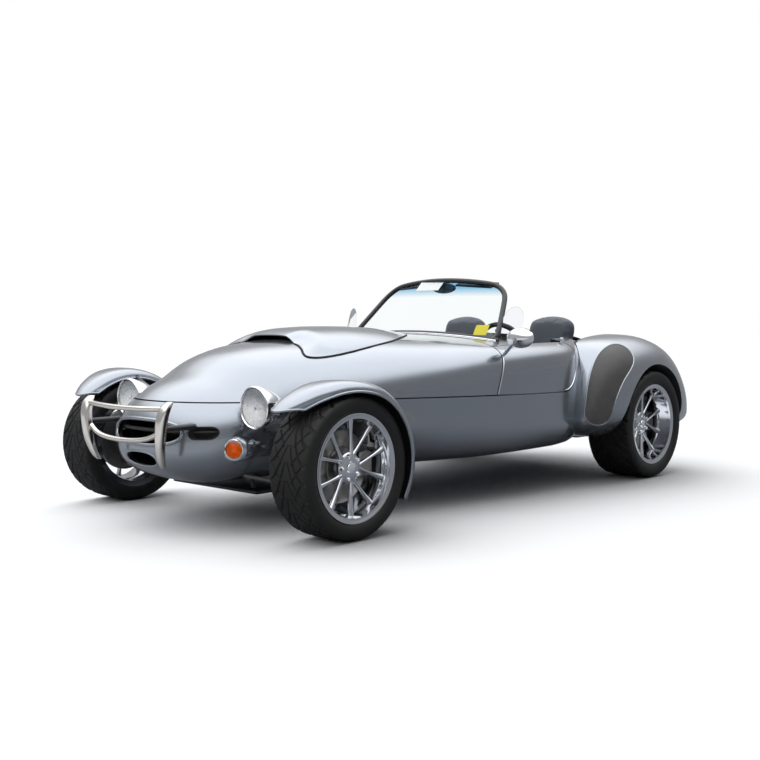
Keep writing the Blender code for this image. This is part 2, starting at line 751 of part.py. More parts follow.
def make_wheel(width, dish, spoke_reach):
    """A deep rim with ten slim spokes in five pairs, its hub and its brake disc. +Z is outboard."""
    rim = BEAD_SHARE * width
    lip = rim + 0.006
    profile = [
        (BEAD_RADIUS - 0.001, -rim), (LIP_RADIUS, -rim - 0.001), (LIP_RADIUS, -lip),
        (BEAD_RADIUS - BARREL_WALL, -lip), (BEAD_RADIUS - 0.016 - BARREL_WALL, -rim + 0.05),
        (BEAD_RADIUS - 0.016 - BARREL_WALL, rim - 0.05), (BEAD_RADIUS - BARREL_WALL, rim - 0.012),
        (BEAD_RADIUS - BARREL_WALL, lip), (LIP_RADIUS, lip), (LIP_RADIUS, rim + 0.001),
        (BEAD_RADIUS - 0.001, rim),
    ]
    wheel = turned("wheel", profile, WHEEL_STEPS)
    face = lip - dish
    hub = rod("hub", (0, 0, HUB_BACK), (0, 0, face - 0.002), HUB_RADIUS, sides=16)
    for pair in range(SPOKE_PAIRS):
        for lean in (-1, 1):
            middle = 2 * math.pi * pair / SPOKE_PAIRS + math.pi / 2
            start, end = middle + lean * 0.215, middle + lean * 0.235
            inner = Vector((0.058 * math.cos(start), 0.058 * math.sin(start), 0))
            tip = Vector((spoke_reach * math.cos(end), spoke_reach * math.sin(end), 0))
            along = (tip - inner).normalized()
            across = Vector((-along.y, along.x, 0)) * 0.009
            rings = []
            for share, rise, depth in ((0.0, 0.0, 0.026), (1.0, 0.010, 0.022)):
                p = inner + (tip - inner) * share
                top = face + rise
                rings.append([(*(p + across).xy, top), (*(p - across).xy, top),
                              (*(p - across * 1.3).xy, top - depth), (*(p + across * 1.3).xy, top - depth)])
            hub = joined(hub, loft("spoke", rings))
    wheel = joined(wheel, hub)
    wheel = joined(wheel, rod("cap", (0, 0, face - 0.01), (0, 0, face + 0.014), 0.030, 0.026, sides=12))
    disc = rod("disc", (0, 0, HUB_BACK + 0.022), (0, 0, HUB_BACK + 0.022 + DISC_THICKNESS), DISC_RADIUS, sides=20)
    return joined(wheel, disc)


TIE_ROD_Y = FRONT_AXLE_Y + 0.120
TIE_ROD_Z = 0.270
TIE_ROD_RADIUS = 0.010
KINGPIN_X = FRONT_TRACK / 2 - KINGPIN_INSET
UPRIGHT_TOP = 0.440
UPRIGHT_FOOT = 0.215
HUB_BACK = -0.038
HUB_FACE_GAP = 0.0005


def make_upright(axle_y, axle_z, wheel_x, inner_x):
    """The upright, its hub flange and its brake caliper, on the left."""
    hub_x = wheel_x + HUB_BACK - HUB_FACE_GAP
    upright = box("upright", (inner_x, axle_y - 0.035, UPRIGHT_FOOT), (inner_x + 0.036, axle_y + 0.035, UPRIGHT_TOP),
                  0.006)
    upright = joined(upright, rod("flange", (inner_x + 0.01, axle_y, axle_z), (hub_x, axle_y, axle_z), 0.045, sides=16))
    disc_x = wheel_x + HUB_BACK + 0.022
    caliper = box("caliper", (disc_x - 0.026, axle_y + 0.105, axle_z - 0.055),
                  (disc_x + DISC_THICKNESS + 0.020, axle_y + 0.186, axle_z + 0.057), 0.008)
    slot = rod("slot", (disc_x - 0.006, axle_y, axle_z), (disc_x + DISC_THICKNESS + 0.006, axle_y, axle_z),
               DISC_RADIUS + 0.006, sides=24)
    caliper = cut(caliper, slot)
    bracket = box("bracket", (inner_x + 0.008, axle_y + 0.02, axle_z - 0.03), (inner_x + 0.030, axle_y + 0.14, axle_z + 0.03))
    link = box("link", (inner_x + 0.009, axle_y + 0.11, axle_z - 0.032), (disc_x - 0.012, axle_y + 0.141, axle_z + 0.032))
    return joined(upright, bracket, link, caliper)


def make_front_knuckle():
    knuckle = make_upright(FRONT_AXLE_Y, FRONT_TYRE_RADIUS, FRONT_TRACK / 2, KINGPIN_X - 0.020)
    arm = box("arm", (KINGPIN_X - 0.030, FRONT_AXLE_Y + 0.02, TIE_ROD_Z + 0.0155),
              (KINGPIN_X + 0.004, TIE_ROD_Y + 0.014, TIE_ROD_Z + 0.033), 0.003)
    return joined(knuckle, arm)


def make_front_suspension():
    """Two wishbones and the coil-over between them, on the left."""
    ball_top = UPRIGHT_TOP + 0.0004
    ball_foot = UPRIGHT_FOOT - 0.0004
    pieces = [rod("eye", (KINGPIN_X, FRONT_AXLE_Y, ball_top), (KINGPIN_X, FRONT_AXLE_Y, ball_top + 0.024), 0.020, sides=14),
              rod("eye", (KINGPIN_X, FRONT_AXLE_Y, ball_foot - 0.026), (KINGPIN_X, FRONT_AXLE_Y, ball_foot), 0.022, sides=14)]
    for dy in (-1, 1):
        pieces.append(rod("upper", (KINGPIN_X - 0.005 + dy * 0.002, FRONT_AXLE_Y + dy * 0.006, ball_top + 0.013),
                          (0.36, FRONT_AXLE_Y + dy * 0.125, 0.480), 0.011, sides=6))
        pieces.append(rod("lower", (KINGPIN_X - 0.005 + dy * 0.002, FRONT_AXLE_Y + dy * 0.007, ball_foot - 0.0145),
                          (0.36, FRONT_AXLE_Y + dy * 0.150, 0.255), 0.011, sides=6))
    pieces.append(rod("bridge", (0.555, FRONT_AXLE_Y - 0.088, 0.231), (0.555, FRONT_AXLE_Y + 0.087, 0.232), 0.0125, sides=8))
    pieces.append(rod("damper", (0.555, FRONT_AXLE_Y, 0.232), (0.515, FRONT_AXLE_Y, 0.47), 0.030, sides=12))
    pieces.append(rod("damper_top", (0.522, FRONT_AXLE_Y, 0.43), (0.42, FRONT_AXLE_Y, 0.50), 0.016, sides=12))
    pieces.append(rod("upper_bridge", (0.525, FRONT_AXLE_Y - 0.08, 0.466), (0.525, FRONT_AXLE_Y + 0.08, 0.466), 0.010, sides=8))
    arms = joined(pieces[0], *pieces[1:])
    return cut(arms, body_solid("body", SEAT_GAP))


def make_rear_suspension():
    """The rear upright with its wishbones and half shaft, on the left."""
    wheel_x = REAR_TRACK / 2
    inner = wheel_x - 0.075
    upright = make_upright(REAR_AXLE_Y, REAR_TYRE_RADIUS, wheel_x, inner)
    pieces = [rod("shaft", (inner + 0.01, REAR_AXLE_Y, REAR_TYRE_RADIUS), (0.50, REAR_AXLE_Y, REAR_TYRE_RADIUS + 0.02),
                  0.018, sides=14)]
    for dy in (-1, 1):
        pieces.append(rod("upper", (inner + 0.012, REAR_AXLE_Y + dy * 0.02, UPRIGHT_TOP - 0.012),
                          (0.48, REAR_AXLE_Y + dy * 0.14, 0.46), 0.012, sides=6))
        pieces.append(rod("lower", (inner + 0.012, REAR_AXLE_Y + dy * 0.02, UPRIGHT_FOOT + 0.012),
                          (0.40, REAR_AXLE_Y + dy * 0.16, 0.33), 0.013, sides=6))
    arms = joined(upright, *pieces)
    return cut(arms, body_solid("body", SEAT_GAP))


def make_tie_rod():
    """The rack with its tie rods, one bar that slides across the car between the steering arms."""
    reach = KINGPIN_X - 0.013
    bar = rod("rack", (-reach, TIE_ROD_Y, TIE_ROD_Z), (reach, TIE_ROD_Y, TIE_ROD_Z), TIE_ROD_RADIUS, sides=12)
    for side in (-1, 1):
        bar = joined(bar, rod("eye", (side * reach, TIE_ROD_Y, TIE_ROD_Z - 0.014), (side * reach, TIE_ROD_Y, TIE_ROD_Z + 0.015),
                              0.016, sides=16))
    return bar


def make_steering_gear():
    gear = box("steering_gear", (-0.27, TIE_ROD_Y - 0.035, 0.15), (0.27, TIE_ROD_Y + 0.035, TIE_ROD_Z + 0.032), 0.008)
    gear = common(gear, body_solid("inside", -SKIN - SEAT_GAP))
    bore = rod("bore", (-0.4, TIE_ROD_Y, TIE_ROD_Z), (0.4, TIE_ROD_Y, TIE_ROD_Z), TIE_ROD_RADIUS + 0.0006, sides=12)
    return cut(gear, bore)


def make_engine():
    engine = box("engine", (-0.24, -1.12, 0.30), (0.24, -0.50, 0.72), 0.02)
    for y in (-1.05, -0.62):
        engine = joined(engine, box("foot", (-0.20, y, 0.15), (0.20, y + 0.06, 0.32)))
    return common(engine, body_solid("inside", -SKIN - SEAT_GAP))


# Fittings

def make_headlamp():
    """A round lamp in a bullet-shaped bowl, on a short arm, on the left."""
    at = Vector((LAMP_X, LAMP_Y, LAMP_Z))
    profile = [(0.0, -0.022), (0.050, -0.016), (LAMP_RADIUS - 0.006, 0.0), (LAMP_RADIUS, 0.006),
               (LAMP_RADIUS, 0.020), (LAMP_RADIUS - 0.012, 0.062),
               (LAMP_RADIUS - 0.034, 0.115), (LAMP_RADIUS - 0.062, 0.150), (0.0, 0.172)]
    bowl = turned("headlamp", profile[::-1], 24, closed=False)
    moved(bowl, Matrix.Translation(at) @ Matrix.Rotation(math.radians(-90), 4, "X"))
    arm = rod("arm", at + Vector((-0.02, 0.06, -0.04)), (0.34, at.y + 0.075, 0.47), 0.020, sides=12)
    lamp = joined(bowl, arm)
    return cut(lamp, body_solid("body", SEAT_GAP))


def make_indicator():
    """A small round amber lamp in a teardrop pod, on the left."""
    profile = [(0.0, -0.030), (0.018, -0.026), (0.030, -0.014), (0.036, 0.0), (0.042, 0.002), (0.046, 0.016),
               (0.046, 0.05), (0.038, 0.10), (0.022, 0.15), (0.0, 0.175)]
    pod = turned("indicator", profile[::-1], 16, closed=False)
    moved(pod, Matrix.Translation((INDICATOR_X, INDICATOR_Y, INDICATOR_Z)) @ Matrix.Rotation(math.radians(-90), 4, "X"))
    return cut(pod, body_solid("body", SEAT_GAP))


def make_front_bumper():
    """Two upright blades joined by an upper bar and a dipping lower one, with their stays into the nose."""
    blade = []
    for side in (-1, 1):
        path = [(side * 0.262, -1.925, 0.320), (side * 0.275, -1.945, 0.350), (side * 0.292, -1.962, 0.450),
                (side * 0.306, -1.960, 0.550), (side * 0.316, -1.938, 0.615)]
        rings = []
        for k, (x, y, z) in enumerate(path):
            half = (0.012, 0.017, 0.021, 0.023, 0.018)[k]
            deep = 0.011
            rings.append([(x + half * c, y + deep * s, z) for c, s in
                          ((1, 0.3), (0.8, 1), (-0.8, 1), (-1, 0.3), (-0.8, -0.6), (0, -1), (0.8, -0.6))])
        blade.append(loft("blade", rings))
        blade.append(rod("stay", (side * 0.300, -1.950, 0.500), (side * 0.300, -1.78, 0.500), 0.014, sides=12))
    upper = tube("upper", [(-0.306, -1.950, 0.590), (-0.15, -1.968, 0.585), (0, -1.972, 0.583),
                           (0.15, -1.968, 0.585), (0.306, -1.950, 0.590)], 0.013, sides=1)
    lower = tube("lower", smooth_path([(-0.294, -1.950, 0.490), (-0.20, -1.966, 0.452), (-0.08, -1.972, 0.436),
                                       (0.08, -1.972, 0.436), (0.20, -1.966, 0.452), (0.294, -1.950, 0.490)], 2),
                 0.012, sides=1)
    bumper = joined(blade[0], upper, *blade[1:], lower)
    return cut(bumper, body_solid("body", SEAT_GAP))


def make_rear_bumper():
    bumper = tube("rear_bumper", smooth_path([(-0.46, 1.920, 0.50), (-0.30, 1.953, 0.50), (0, 1.965, 0.50),
                                              (0.30, 1.953, 0.50), (0.46, 1.920, 0.50)], 3), 0.020, sides=1)
    for side in (-1, 1):
        bumper = joined(bumper, rod("stay", (side * 0.26, 1.950, 0.50), (side * 0.26, 1.75, 0.50), 0.014, sides=12))
    return cut(bumper, body_solid("body", SEAT_GAP))


def make_tail_lamp():
    profile = [(0.0, -0.020), (0.024, -0.016), (0.038, -0.004), (0.042, 0.008), (0.042, 0.20), (0.0, 0.20)]
    lamp = turned("tail_lamp", profile[::-1], 18, closed=False)
    moved(lamp, Matrix.Translation((TAIL_LAMP_X, TAIL_LAMP_Y, TAIL_LAMP_Z)) @ Matrix.Rotation(math.radians(90), 4, "X"))
    return cut(lamp, body_solid("body", SEAT_GAP))


def make_exhaust():
    exhaust = box("exhaust", (-0.30, 1.42, 0.175), (0.30, 1.66, 0.29), 0.03, 3)
    for side in (-1, 1):
        exhaust = joined(exhaust, rod("pipe", (side * 0.22, 1.60, 0.235), (side * 0.22, 1.965, 0.255), 0.028, sides=16))
    hanger = box("hanger", (-0.05, 1.50, 0.25), (0.05, 1.56, 0.40))
    exhaust = joined(exhaust, hanger)
    return cut(exhaust, body_solid("body", SEAT_GAP))


def make_mirror():
    at = Vector((MIRROR_X, MIRROR_Y, MIRROR_Z))
    profile = [(0.0, -0.045), (0.030, -0.042), (0.052, -0.028), (0.062, 0.0), (0.060, 0.026), (0.0, 0.030)]
    shell = turned("mirror", profile[::-1], 16, closed=False)
    moved(shell, Matrix.Translation(at) @ Matrix.Diagonal((1.25, 1.0, 0.75, 1.0)) @ Matrix.Rotation(math.radians(-90), 4, "X"))
    arm = rod("arm", at + Vector((-0.03, -0.01, -0.02)), (0.712, MIRROR_Y + 0.015, 0.775), 0.013, sides=12)
    return cut(joined(shell, arm), body_solid("body", SEAT_GAP))


def make_dashboard():
    dash = box("dashboard", (-0.59, COWL_REAR_Y + SEAT_GAP, 0.62), (0.59, 0.31, 0.855), 0.02, 2)
    for side in (-1, 1):
        hump = rod("hump", (side * SEAT_X, COWL_REAR_Y + 0.012, 0.800), (side * SEAT_X, 0.33, 0.800), 0.105, sides=20)
        dash = joined(dash, hump)
    column = rod("column", WHEEL_CENTRE - WHEEL_AXIS * 0.20, WHEEL_CENTRE - WHEEL_AXIS * 0.0405, 0.026, sides=16)
    return joined(dash, column)


def make_steering_wheel():
    rim = [(WHEEL_RIM * math.cos(a), WHEEL_RIM * math.sin(a), 0.0) for a in
           (2 * math.pi * k / 24 for k in range(20))]
    wheel = tube("steering_wheel", rim, 0.015, cyclic=True, sides=1)
    for k in range(3):
        angle = math.radians(-90 + 120 * k)
        end = (WHEEL_RIM * math.cos(angle), WHEEL_RIM * math.sin(angle), 0.0)
        wheel = joined(wheel, rod("spoke", (0, 0, -0.020), end, 0.011, sides=8))
    wheel = joined(wheel, rod("boss", (0, 0, -0.040), (0, 0, -0.004), 0.040, sides=14))
    turn = Vector((0, 0, 1)).rotation_difference(WHEEL_AXIS).to_matrix().to_4x4()
    return moved(wheel, Matrix.Translation(WHEEL_CENTRE) @ turn)


def make_seat():
    """A deep seat whose tall back leans over the bulkhead, on the left."""
    base = box("seat", (SEAT_X - 0.215, 0.38, TUB_FLOOR_Z + SEAT_GAP), (SEAT_X + 0.200, 0.90, 0.43), 0.070, 2)
    back = box("back", (SEAT_X - 0.222, -0.055, 0.0), (SEAT_X + 0.222, 0.055, 0.69), 0.045, 2)
    moved(back, Matrix.Translation((0, 0.905, 0.33)) @ Matrix.Rotation(math.radians(-SEAT_LEAN_DEG), 4, "X"))
    return joined(base, back)


def make_hood_scoop():
    rings = []
    for y, half, height in SCOOP_ROWS:
        ring = []
        base = body_top(0, y)
        for k in range(13):
            angle = math.pi * k / 12
            c, s = math.cos(angle), math.sin(angle)
            size = (abs(c) ** 2.6 + abs(s) ** 2.6) ** (1 / 2.6)
            x = half * c / size
            ring.append((x, y, base + height * s / size))
        ring.append((-half, y, base - 0.10))
        ring.append((half, y, base - 0.10))
        rings.append(ring)
    return cut(loft("hood_scoop", rings), body_solid("body", SEAT_GAP))


SEAT_X = 0.362
SEAT_LEAN_DEG = 8.0
TUB_FLOOR_Z = 0.268
LAMP_X, LAMP_Y, LAMP_Z, LAMP_RADIUS = 0.524, -1.622, 0.585, 0.100
INDICATOR_X, INDICATOR_Y, INDICATOR_Z = 0.432, -1.668, 0.394
TAIL_LAMP_X, TAIL_LAMP_Y, TAIL_LAMP_Z = 0.400, 1.925, 0.590
MIRROR_X, MIRROR_Y, MIRROR_Z = 0.855, -0.035, 0.884
WHEEL_CENTRE = Vector((SEAT_X, 0.500, 0.790))
WHEEL_AXIS = Vector((0, math.cos(math.radians(22)), math.sin(math.radians(22))))
WHEEL_RIM = 0.175
SCOOP_ROWS = (
    (-1.200, 0.10, 0.030), (-1.130, 0.20, 0.048), (-1.030, 0.26, 0.056), (-0.850, 0.30, 0.058),
    (-0.620, 0.32, 0.050), (-0.380, 0.33, 0.036), (-0.180, 0.33, 0.012),
)


def main():
    clear_scene()
    roadster = collection("roadster")
    looks = {
        "paint": material("paint", (0.30, 0.31, 0.34), 0.30, 0.85),
        "chrome": material("chrome", (0.80, 0.80, 0.82), 0.08, 1.0),
        "nickel": material("nickel", (0.62, 0.60, 0.58), 0.20, 1.0),
        "steel": material("steel", (0.35, 0.35, 0.36), 0.45, 1.0),
        "black": material("black", (0.020, 0.020, 0.022), 0.50),
        "rubber": material("rubber", (0.020, 0.020, 0.020), 0.80),
        "glass": material("glass", (0.80, 0.88, 0.90), 0.02, alpha=0.25),
        "leather": material("leather", (0.060, 0.075, 0.095), 0.55),
        "carpet": material("carpet", (0.030, 0.032, 0.036), 0.90),
        "amber": material("amber", (0.90, 0.25, 0.02), 0.15),
        "red": material("red", (0.45, 0.01, 0.01), 0.15),
        "engine": material("engine", (0.20, 0.20, 0.21), 0.60, 0.6),
    }
    root = empty("roadster_frame", (0, 0, 0), roadster)

    def put(obj, name, look, pivot=(0, 0, 0), parent=root):
        return finished(obj, name, looks[look], roadster, pivot, parent)

    def put_pair(obj, name, look, pivot=(0, 0, 0), parents=(root, root)):
        """The left piece and its mirror image on the right."""
        right = mirrored(obj, name + "_right")
        put(obj, name + "_left", look, pivot, parents[0])
        put(right, name + "_right", look, (-pivot[0], pivot[1], pivot[2]), parents[1])

    put(make_lower_body(), "lower_body", "paint")
    put(make_tub(), "cockpit_tub", "carpet")
    put_pair(make_rear_wing(), "rear_fender", "paint")
    put_pair(make_front_wing(), "front_fender", "paint")
    frame, glass = make_windscreen()
    put(frame, "windscreen_frame", "black")
    put(glass, "windscreen_glass", "glass")

    hood_hinge = empty("hood_hinge", (0, HOOD_HINGE_Y, HOOD_HINGE_Z), roadster, root)
    put(make_hood(), "hood", "paint", hood_hinge.location, hood_hinge)
    put(make_hood_scoop(), "hood_scoop", "paint", hood_hinge.location, hood_hinge)
    boot_hinge = empty("boot_hinge", (0, BOOT_FRONT_Y, body_top(0, BOOT_FRONT_Y)), roadster, root)
    put(make_boot_lid(), "boot_lid", "paint", boot_hinge.location, boot_hinge)

    hinge = (DOOR_HINGE_X, DOOR_SEAM_Y + PANEL_GAP, SHUT_LINE_Z)
    doors = [empty("door_hinge_left", hinge, roadster, root),
             empty("door_hinge_right", (-hinge[0], *hinge[1:]), roadster, root)]
    put_pair(make_door(), "door", "paint", hinge, doors)
    put_pair(make_mirror(), "mirror", "chrome", hinge, doors)

    kingpin = (KINGPIN_X, FRONT_AXLE_Y, FRONT_TYRE_RADIUS)
    kingpins = [empty("kingpin_left", kingpin, roadster, root),
                empty("kingpin_right", (-kingpin[0], *kingpin[1:]), roadster, root)]
    put_pair(make_front_knuckle(), "knuckle", "steel", kingpin, kingpins)
    axles = (
        ("front", FRONT_TRACK / 2, FRONT_AXLE_Y, FRONT_TYRE_RADIUS, FRONT_TYRE_WIDTH, FRONT_DISH,
         FRONT_SPOKE_REACH, kingpins),
        ("rear", REAR_TRACK / 2, REAR_AXLE_Y, REAR_TYRE_RADIUS, REAR_TYRE_WIDTH, REAR_DISH,
         REAR_SPOKE_REACH, (root, root)),
    )
    for end, x, y, radius, width, dish, reach, parents in axles:
        tyre = along_x(make_tyre(radius, width), (x, y, radius))
        wheel = along_x(make_wheel(width, dish, reach), (x, y, radius))
        put_pair(tyre, end + "_tyre", "rubber", (x, y, radius), parents)
        put_pair(wheel, end + "_wheel", "chrome", (x, y, radius), parents)
    put_pair(make_front_suspension(), "front_suspension", "steel")
    put_pair(make_rear_suspension(), "rear_suspension", "steel")
    put(make_tie_rod(), "tie_rod", "steel", (0, TIE_ROD_Y, TIE_ROD_Z))
    put(make_steering_gear(), "steering_gear", "steel")
    put(make_engine(), "engine", "engine")

    put_pair(make_headlamp(), "headlamp", "chrome")
    put_pair(make_indicator(), "indicator", "amber")
    put_pair(make_tail_lamp(), "tail_lamp", "red")
    put(make_front_bumper(), "front_bumper", "nickel")
    put(make_rear_bumper(), "rear_bumper", "nickel")
    put(make_exhaust(), "exhaust", "steel")
    put(make_dashboard(), "dashboard", "black")
    put(make_steering_wheel(), "steering_wheel", "black", WHEEL_CENTRE)
    put_pair(make_seat(), "seat", "leather")


main()
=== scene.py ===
"""Looks for the roadster: smooth body panels, wheels, lamps, glass and trim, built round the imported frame.

The nose points to -Y, the driver sits on +X, and the origin is on the ground under the middle of the car.
Sizes are in metres. The same tables of the body's shape as in the part's source give the smooth panels here.
"""
import math

import bmesh
import bpy
from mathutils import Matrix, Vector
from mathutils.bvhtree import BVHTree


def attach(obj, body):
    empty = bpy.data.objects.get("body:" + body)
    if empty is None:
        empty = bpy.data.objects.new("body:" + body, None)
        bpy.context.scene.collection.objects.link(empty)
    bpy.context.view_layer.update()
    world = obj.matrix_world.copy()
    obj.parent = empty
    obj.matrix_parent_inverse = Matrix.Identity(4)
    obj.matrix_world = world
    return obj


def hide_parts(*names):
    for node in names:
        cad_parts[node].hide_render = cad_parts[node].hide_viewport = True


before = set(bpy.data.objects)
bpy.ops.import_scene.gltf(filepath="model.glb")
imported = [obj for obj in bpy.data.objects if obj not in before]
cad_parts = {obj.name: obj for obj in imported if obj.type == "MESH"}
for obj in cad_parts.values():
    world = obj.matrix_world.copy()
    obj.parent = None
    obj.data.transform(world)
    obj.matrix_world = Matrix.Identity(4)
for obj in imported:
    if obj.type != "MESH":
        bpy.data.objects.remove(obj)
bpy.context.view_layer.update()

# Camera, fitted to the photograph
CAMERA_PLACE = (4.3073, -4.8502, 0.9943)
CAMERA_TURN_DEG = 42.892
CAMERA_TILT_DEG = 3.257
CAMERA_ROLL_DEG = -0.11
CAMERA_LENS_MM = 51.875
CAMERA_SENSOR_MM = 36.0

# Axles and wheels
FRONT_AXLE_Y = -1.387
REAR_AXLE_Y = 1.267
FRONT_WHEEL_X = 0.840
REAR_WHEEL_X = 0.8085
FRONT_TYRE_RADIUS = 0.3266
REAR_TYRE_RADIUS = 0.3319
FRONT_TYRE_WIDTH = 0.245
REAR_TYRE_WIDTH = 0.295
BEAD_RADIUS = 0.2286
LIP_RADIUS = 0.250
BEAD_SHARE = 0.43
FRONT_DISH = 0.040
REAR_DISH = 0.078
HUB_BACK = -0.038
DISC_RADIUS = 0.165

# The body: y, half width, waist, shoulders, crown, underside and how square its upper and lower halves are
BODY_STATIONS = (
    (-1.950, 0.440, 0.400, 0.668, 0.000, 0.215, 2.2, 2.6),
    (-1.750, 0.450, 0.425, 0.690, 0.000, 0.208, 2.2, 2.8),
    (-1.600, 0.455, 0.450, 0.724, 0.000, 0.204, 2.2, 2.9),
    (-1.400, 0.470, 0.500, 0.815, 0.000, 0.202, 2.3, 3.0),
    (-1.200, 0.515, 0.530, 0.862, 0.000, 0.200, 2.4, 3.0),
    (-0.800, 0.625, 0.565, 0.880, 0.012, 0.200, 2.8, 3.3),
    (-0.400, 0.730, 0.575, 0.868, 0.030, 0.205, 4.0, 4.2),
    (0.000, 0.795, 0.575, 0.862, 0.042, 0.210, 6.0, 5.5),
    (0.400, 0.810, 0.575, 0.862, 0.042, 0.215, 7.0, 6.0),
    (0.650, 0.780, 0.575, 0.870, 0.030, 0.220, 7.0, 6.5),
    (0.900, 0.652, 0.570, 0.900, 0.000, 0.230, 6.0, 6.5),
    (1.267, 0.622, 0.560, 0.868, 0.000, 0.260, 4.0, 5.0),
    (1.700, 0.600, 0.550, 0.760, 0.000, 0.310, 2.8, 4.0),
    (1.960, 0.560, 0.530, 0.665, 0.000, 0.350, 2.4, 3.0),
)
NOSE_Y = -1.925
NOSE_ROUND = 0.340
TAIL_Y = 1.930
TAIL_ROUND = 0.260
END_POWER = 2.4
CROWN_SHARE = 0.90
RING_POINTS = 112
STATION_STEP = 0.032
SHUT_LINE_Z = 0.575
SHUT_LINE_RISE = 0.0165
SKIN = 0.020
HOOD_SKIN = 0.014
PANEL_GAP = 0.006
DOOR_SEAM_Y = -0.130
DOOR_SEAM_LEAN = 0.30
DOOR_REAR_Y = 0.634
DOOR_INNER_X = 0.690
DOOR_CORNER = 0.150
DOOR_HINGE_X = 0.792
COCKPIT_HALF_WIDTH = 0.600
COCKPIT_REAR_Y = 1.085
COCKPIT_CORNER = 0.120
COWL_REAR_Y = 0.190
BOOT_FRONT_Y = 1.220
BOOT_REAR_Y = 1.760
BOOT_HALF_WIDTH = 0.400

# Front wings: angle back from the top, middle x, half width
WING_ROWS = (
    (-51.0, 0.776, 0.056, 0.423),
    (-45.0, 0.790, 0.074, 0.420),
    (-35.0, 0.808, 0.094, 0.412),
    (-20.0, 0.830, 0.117, 0.404),
    (10.0, 0.852, 0.133, 0.393),
    (50.0, 0.852, 0.131, 0.394),
    (90.0, 0.850, 0.125, 0.396),
    (118.0, 0.850, 0.112, 0.396),
)
WING_DROP = 0.047

# Rear wings: y, outer x, top, underside
PONTOON_ROWS = (
    (0.596, 0.850, 0.420, 0.358),
    (0.615, 0.882, 0.508, 0.330),
    (0.645, 0.908, 0.608, 0.314),
    (0.690, 0.930, 0.710, 0.300),
    (0.745, 0.947, 0.775, 0.288),
    (0.820, 0.961, 0.826, 0.275),
    (0.930, 0.971, 0.860, 0.260),
    (1.080, 0.975, 0.880, 0.250),
    (1.250, 0.975, 0.887, 0.245),
    (1.400, 0.972, 0.873, 0.245),
    (1.540, 0.960, 0.825, 0.248),
    (1.650, 0.943, 0.728, 0.252),
    (1.735, 0.920, 0.612, 0.260),
    (1.790, 0.895, 0.495, 0.280),
    (1.820, 0.868, 0.405, 0.315),
)
PONTOON_POWER = 2.7
PONTOON_CENTRE_X = 0.62
PONTOON_INNER_X = 0.420
ARCH_RADIUS = 0.372

# Windscreen
SCREEN_BASE_HALF = 0.580
SCREEN_TOP_HALF = 0.452
SCREEN_BASE_Y = 0.050
SCREEN_TOP_Y = 0.352
SCREEN_BASE_Z = 0.905
SCREEN_TOP_Z = 1.190
SCREEN_BASE_CURVE = 0.080
SCREEN_TOP_CURVE = 0.052
SCREEN_BASE_DROP = 0.050
SCREEN_TOP_DROP = 0.016
SCREEN_CORNER = 0.095
SCREEN_ARCH = 0.030

# Fittings
LAMP = Vector((0.497, -1.592, 0.585))
INDICATOR = Vector((0.425, -1.655, 0.392))
TAIL_LAMP = Vector((0.400, 1.925, 0.590))
MIRROR = Vector((0.855, -0.035, 0.884))
MIRROR_STRETCH = (1.26, 1.0, 0.88)
SEAT_X = 0.362
WHEEL_CENTRE = Vector((SEAT_X, 0.500, 0.790))
WHEEL_TILT_DEG = 22.0
WHEEL_RIM = 0.175


# Shape tables

def spread(low, high, count):
    """Evenly spaced values from low to high, both of them included."""
    return [low + (high - low) * k / count for k in range(count + 1)]


def between(low, high, share):
    return low + (high - low) * share


def eased(share):
    """A share held between 0 and 1 that starts and ends gently."""
    share = min(max(share, 0.0), 1.0)
    return share * (share * (3 - 2 * share))


def oval_point(angle, power):
    """A point of a squarish circle of radius 1."""
    c, s = math.cos(angle), math.sin(angle)
    size = (abs(c) ** power + abs(s) ** power) ** (1 / power)
    return c / size, s / size


def value_at(table, y, column):
    """A smooth curve through one column of a table whose first column is y."""
    ys = [row[0] for row in table]
    vs = [row[column] for row in table]
    count = len(ys)
    if y <= ys[0]:
        return vs[0]
    if y >= ys[-1]:
        return vs[-1]
    i = max(k for k in range(count - 1) if ys[k] <= y)

    def slope(k):
        low, high = max(k - 1, 0), min(k + 1, count - 1)
        return (vs[high] - vs[low]) / (ys[high] - ys[low])

    span = ys[i + 1] - ys[i]
    t = (y - ys[i]) / span
    a = 2 * t**3 - 3 * t**2 + 1
    b = t**3 - 2 * t**2 + t
    c = -2 * t**3 + 3 * t**2
    d = t**3 - t**2
    return a * vs[i] + b * span * slope(i) + c * vs[i + 1] + d * span * slope(i + 1)


def end_round(y, grow=0.0):
    nose = (NOSE_Y - grow + NOSE_ROUND - y) / NOSE_ROUND
    tail = (y - TAIL_Y - grow + TAIL_ROUND) / TAIL_ROUND
    reach = max(nose, tail, 0.0)
    return max(1.0 - reach**END_POWER, 0.0) ** (1.0 / END_POWER)


def body_section(y, grow=0.0, count=RING_POINTS):
    """The body's closed outline at y, as a ring of points."""
    scale = end_round(y, grow)
    half = (value_at(BODY_STATIONS, y, 1) + grow) * scale
    waist = value_at(BODY_STATIONS, y, 2)
    up = (value_at(BODY_STATIONS, y, 3) - waist + grow) * scale
    crown = value_at(BODY_STATIONS, y, 4) * scale
    down = (waist - value_at(BODY_STATIONS, y, 5) + grow) * scale
    upper = value_at(BODY_STATIONS, y, 6)
    lower = value_at(BODY_STATIONS, y, 7)
    ring = []
    for k in range(count):
        angle = 2 * math.pi * k / count
        above = math.sin(angle) >= 0
        c, s = oval_point(angle, upper if above else lower)
        rise = crown * max(1 - (c / CROWN_SHARE) ** 2, 0.0) ** 1.5 if s > 0 else 0.0
        ring.append((half * c, y, waist + (up if above else down) * s + rise))
    return ring


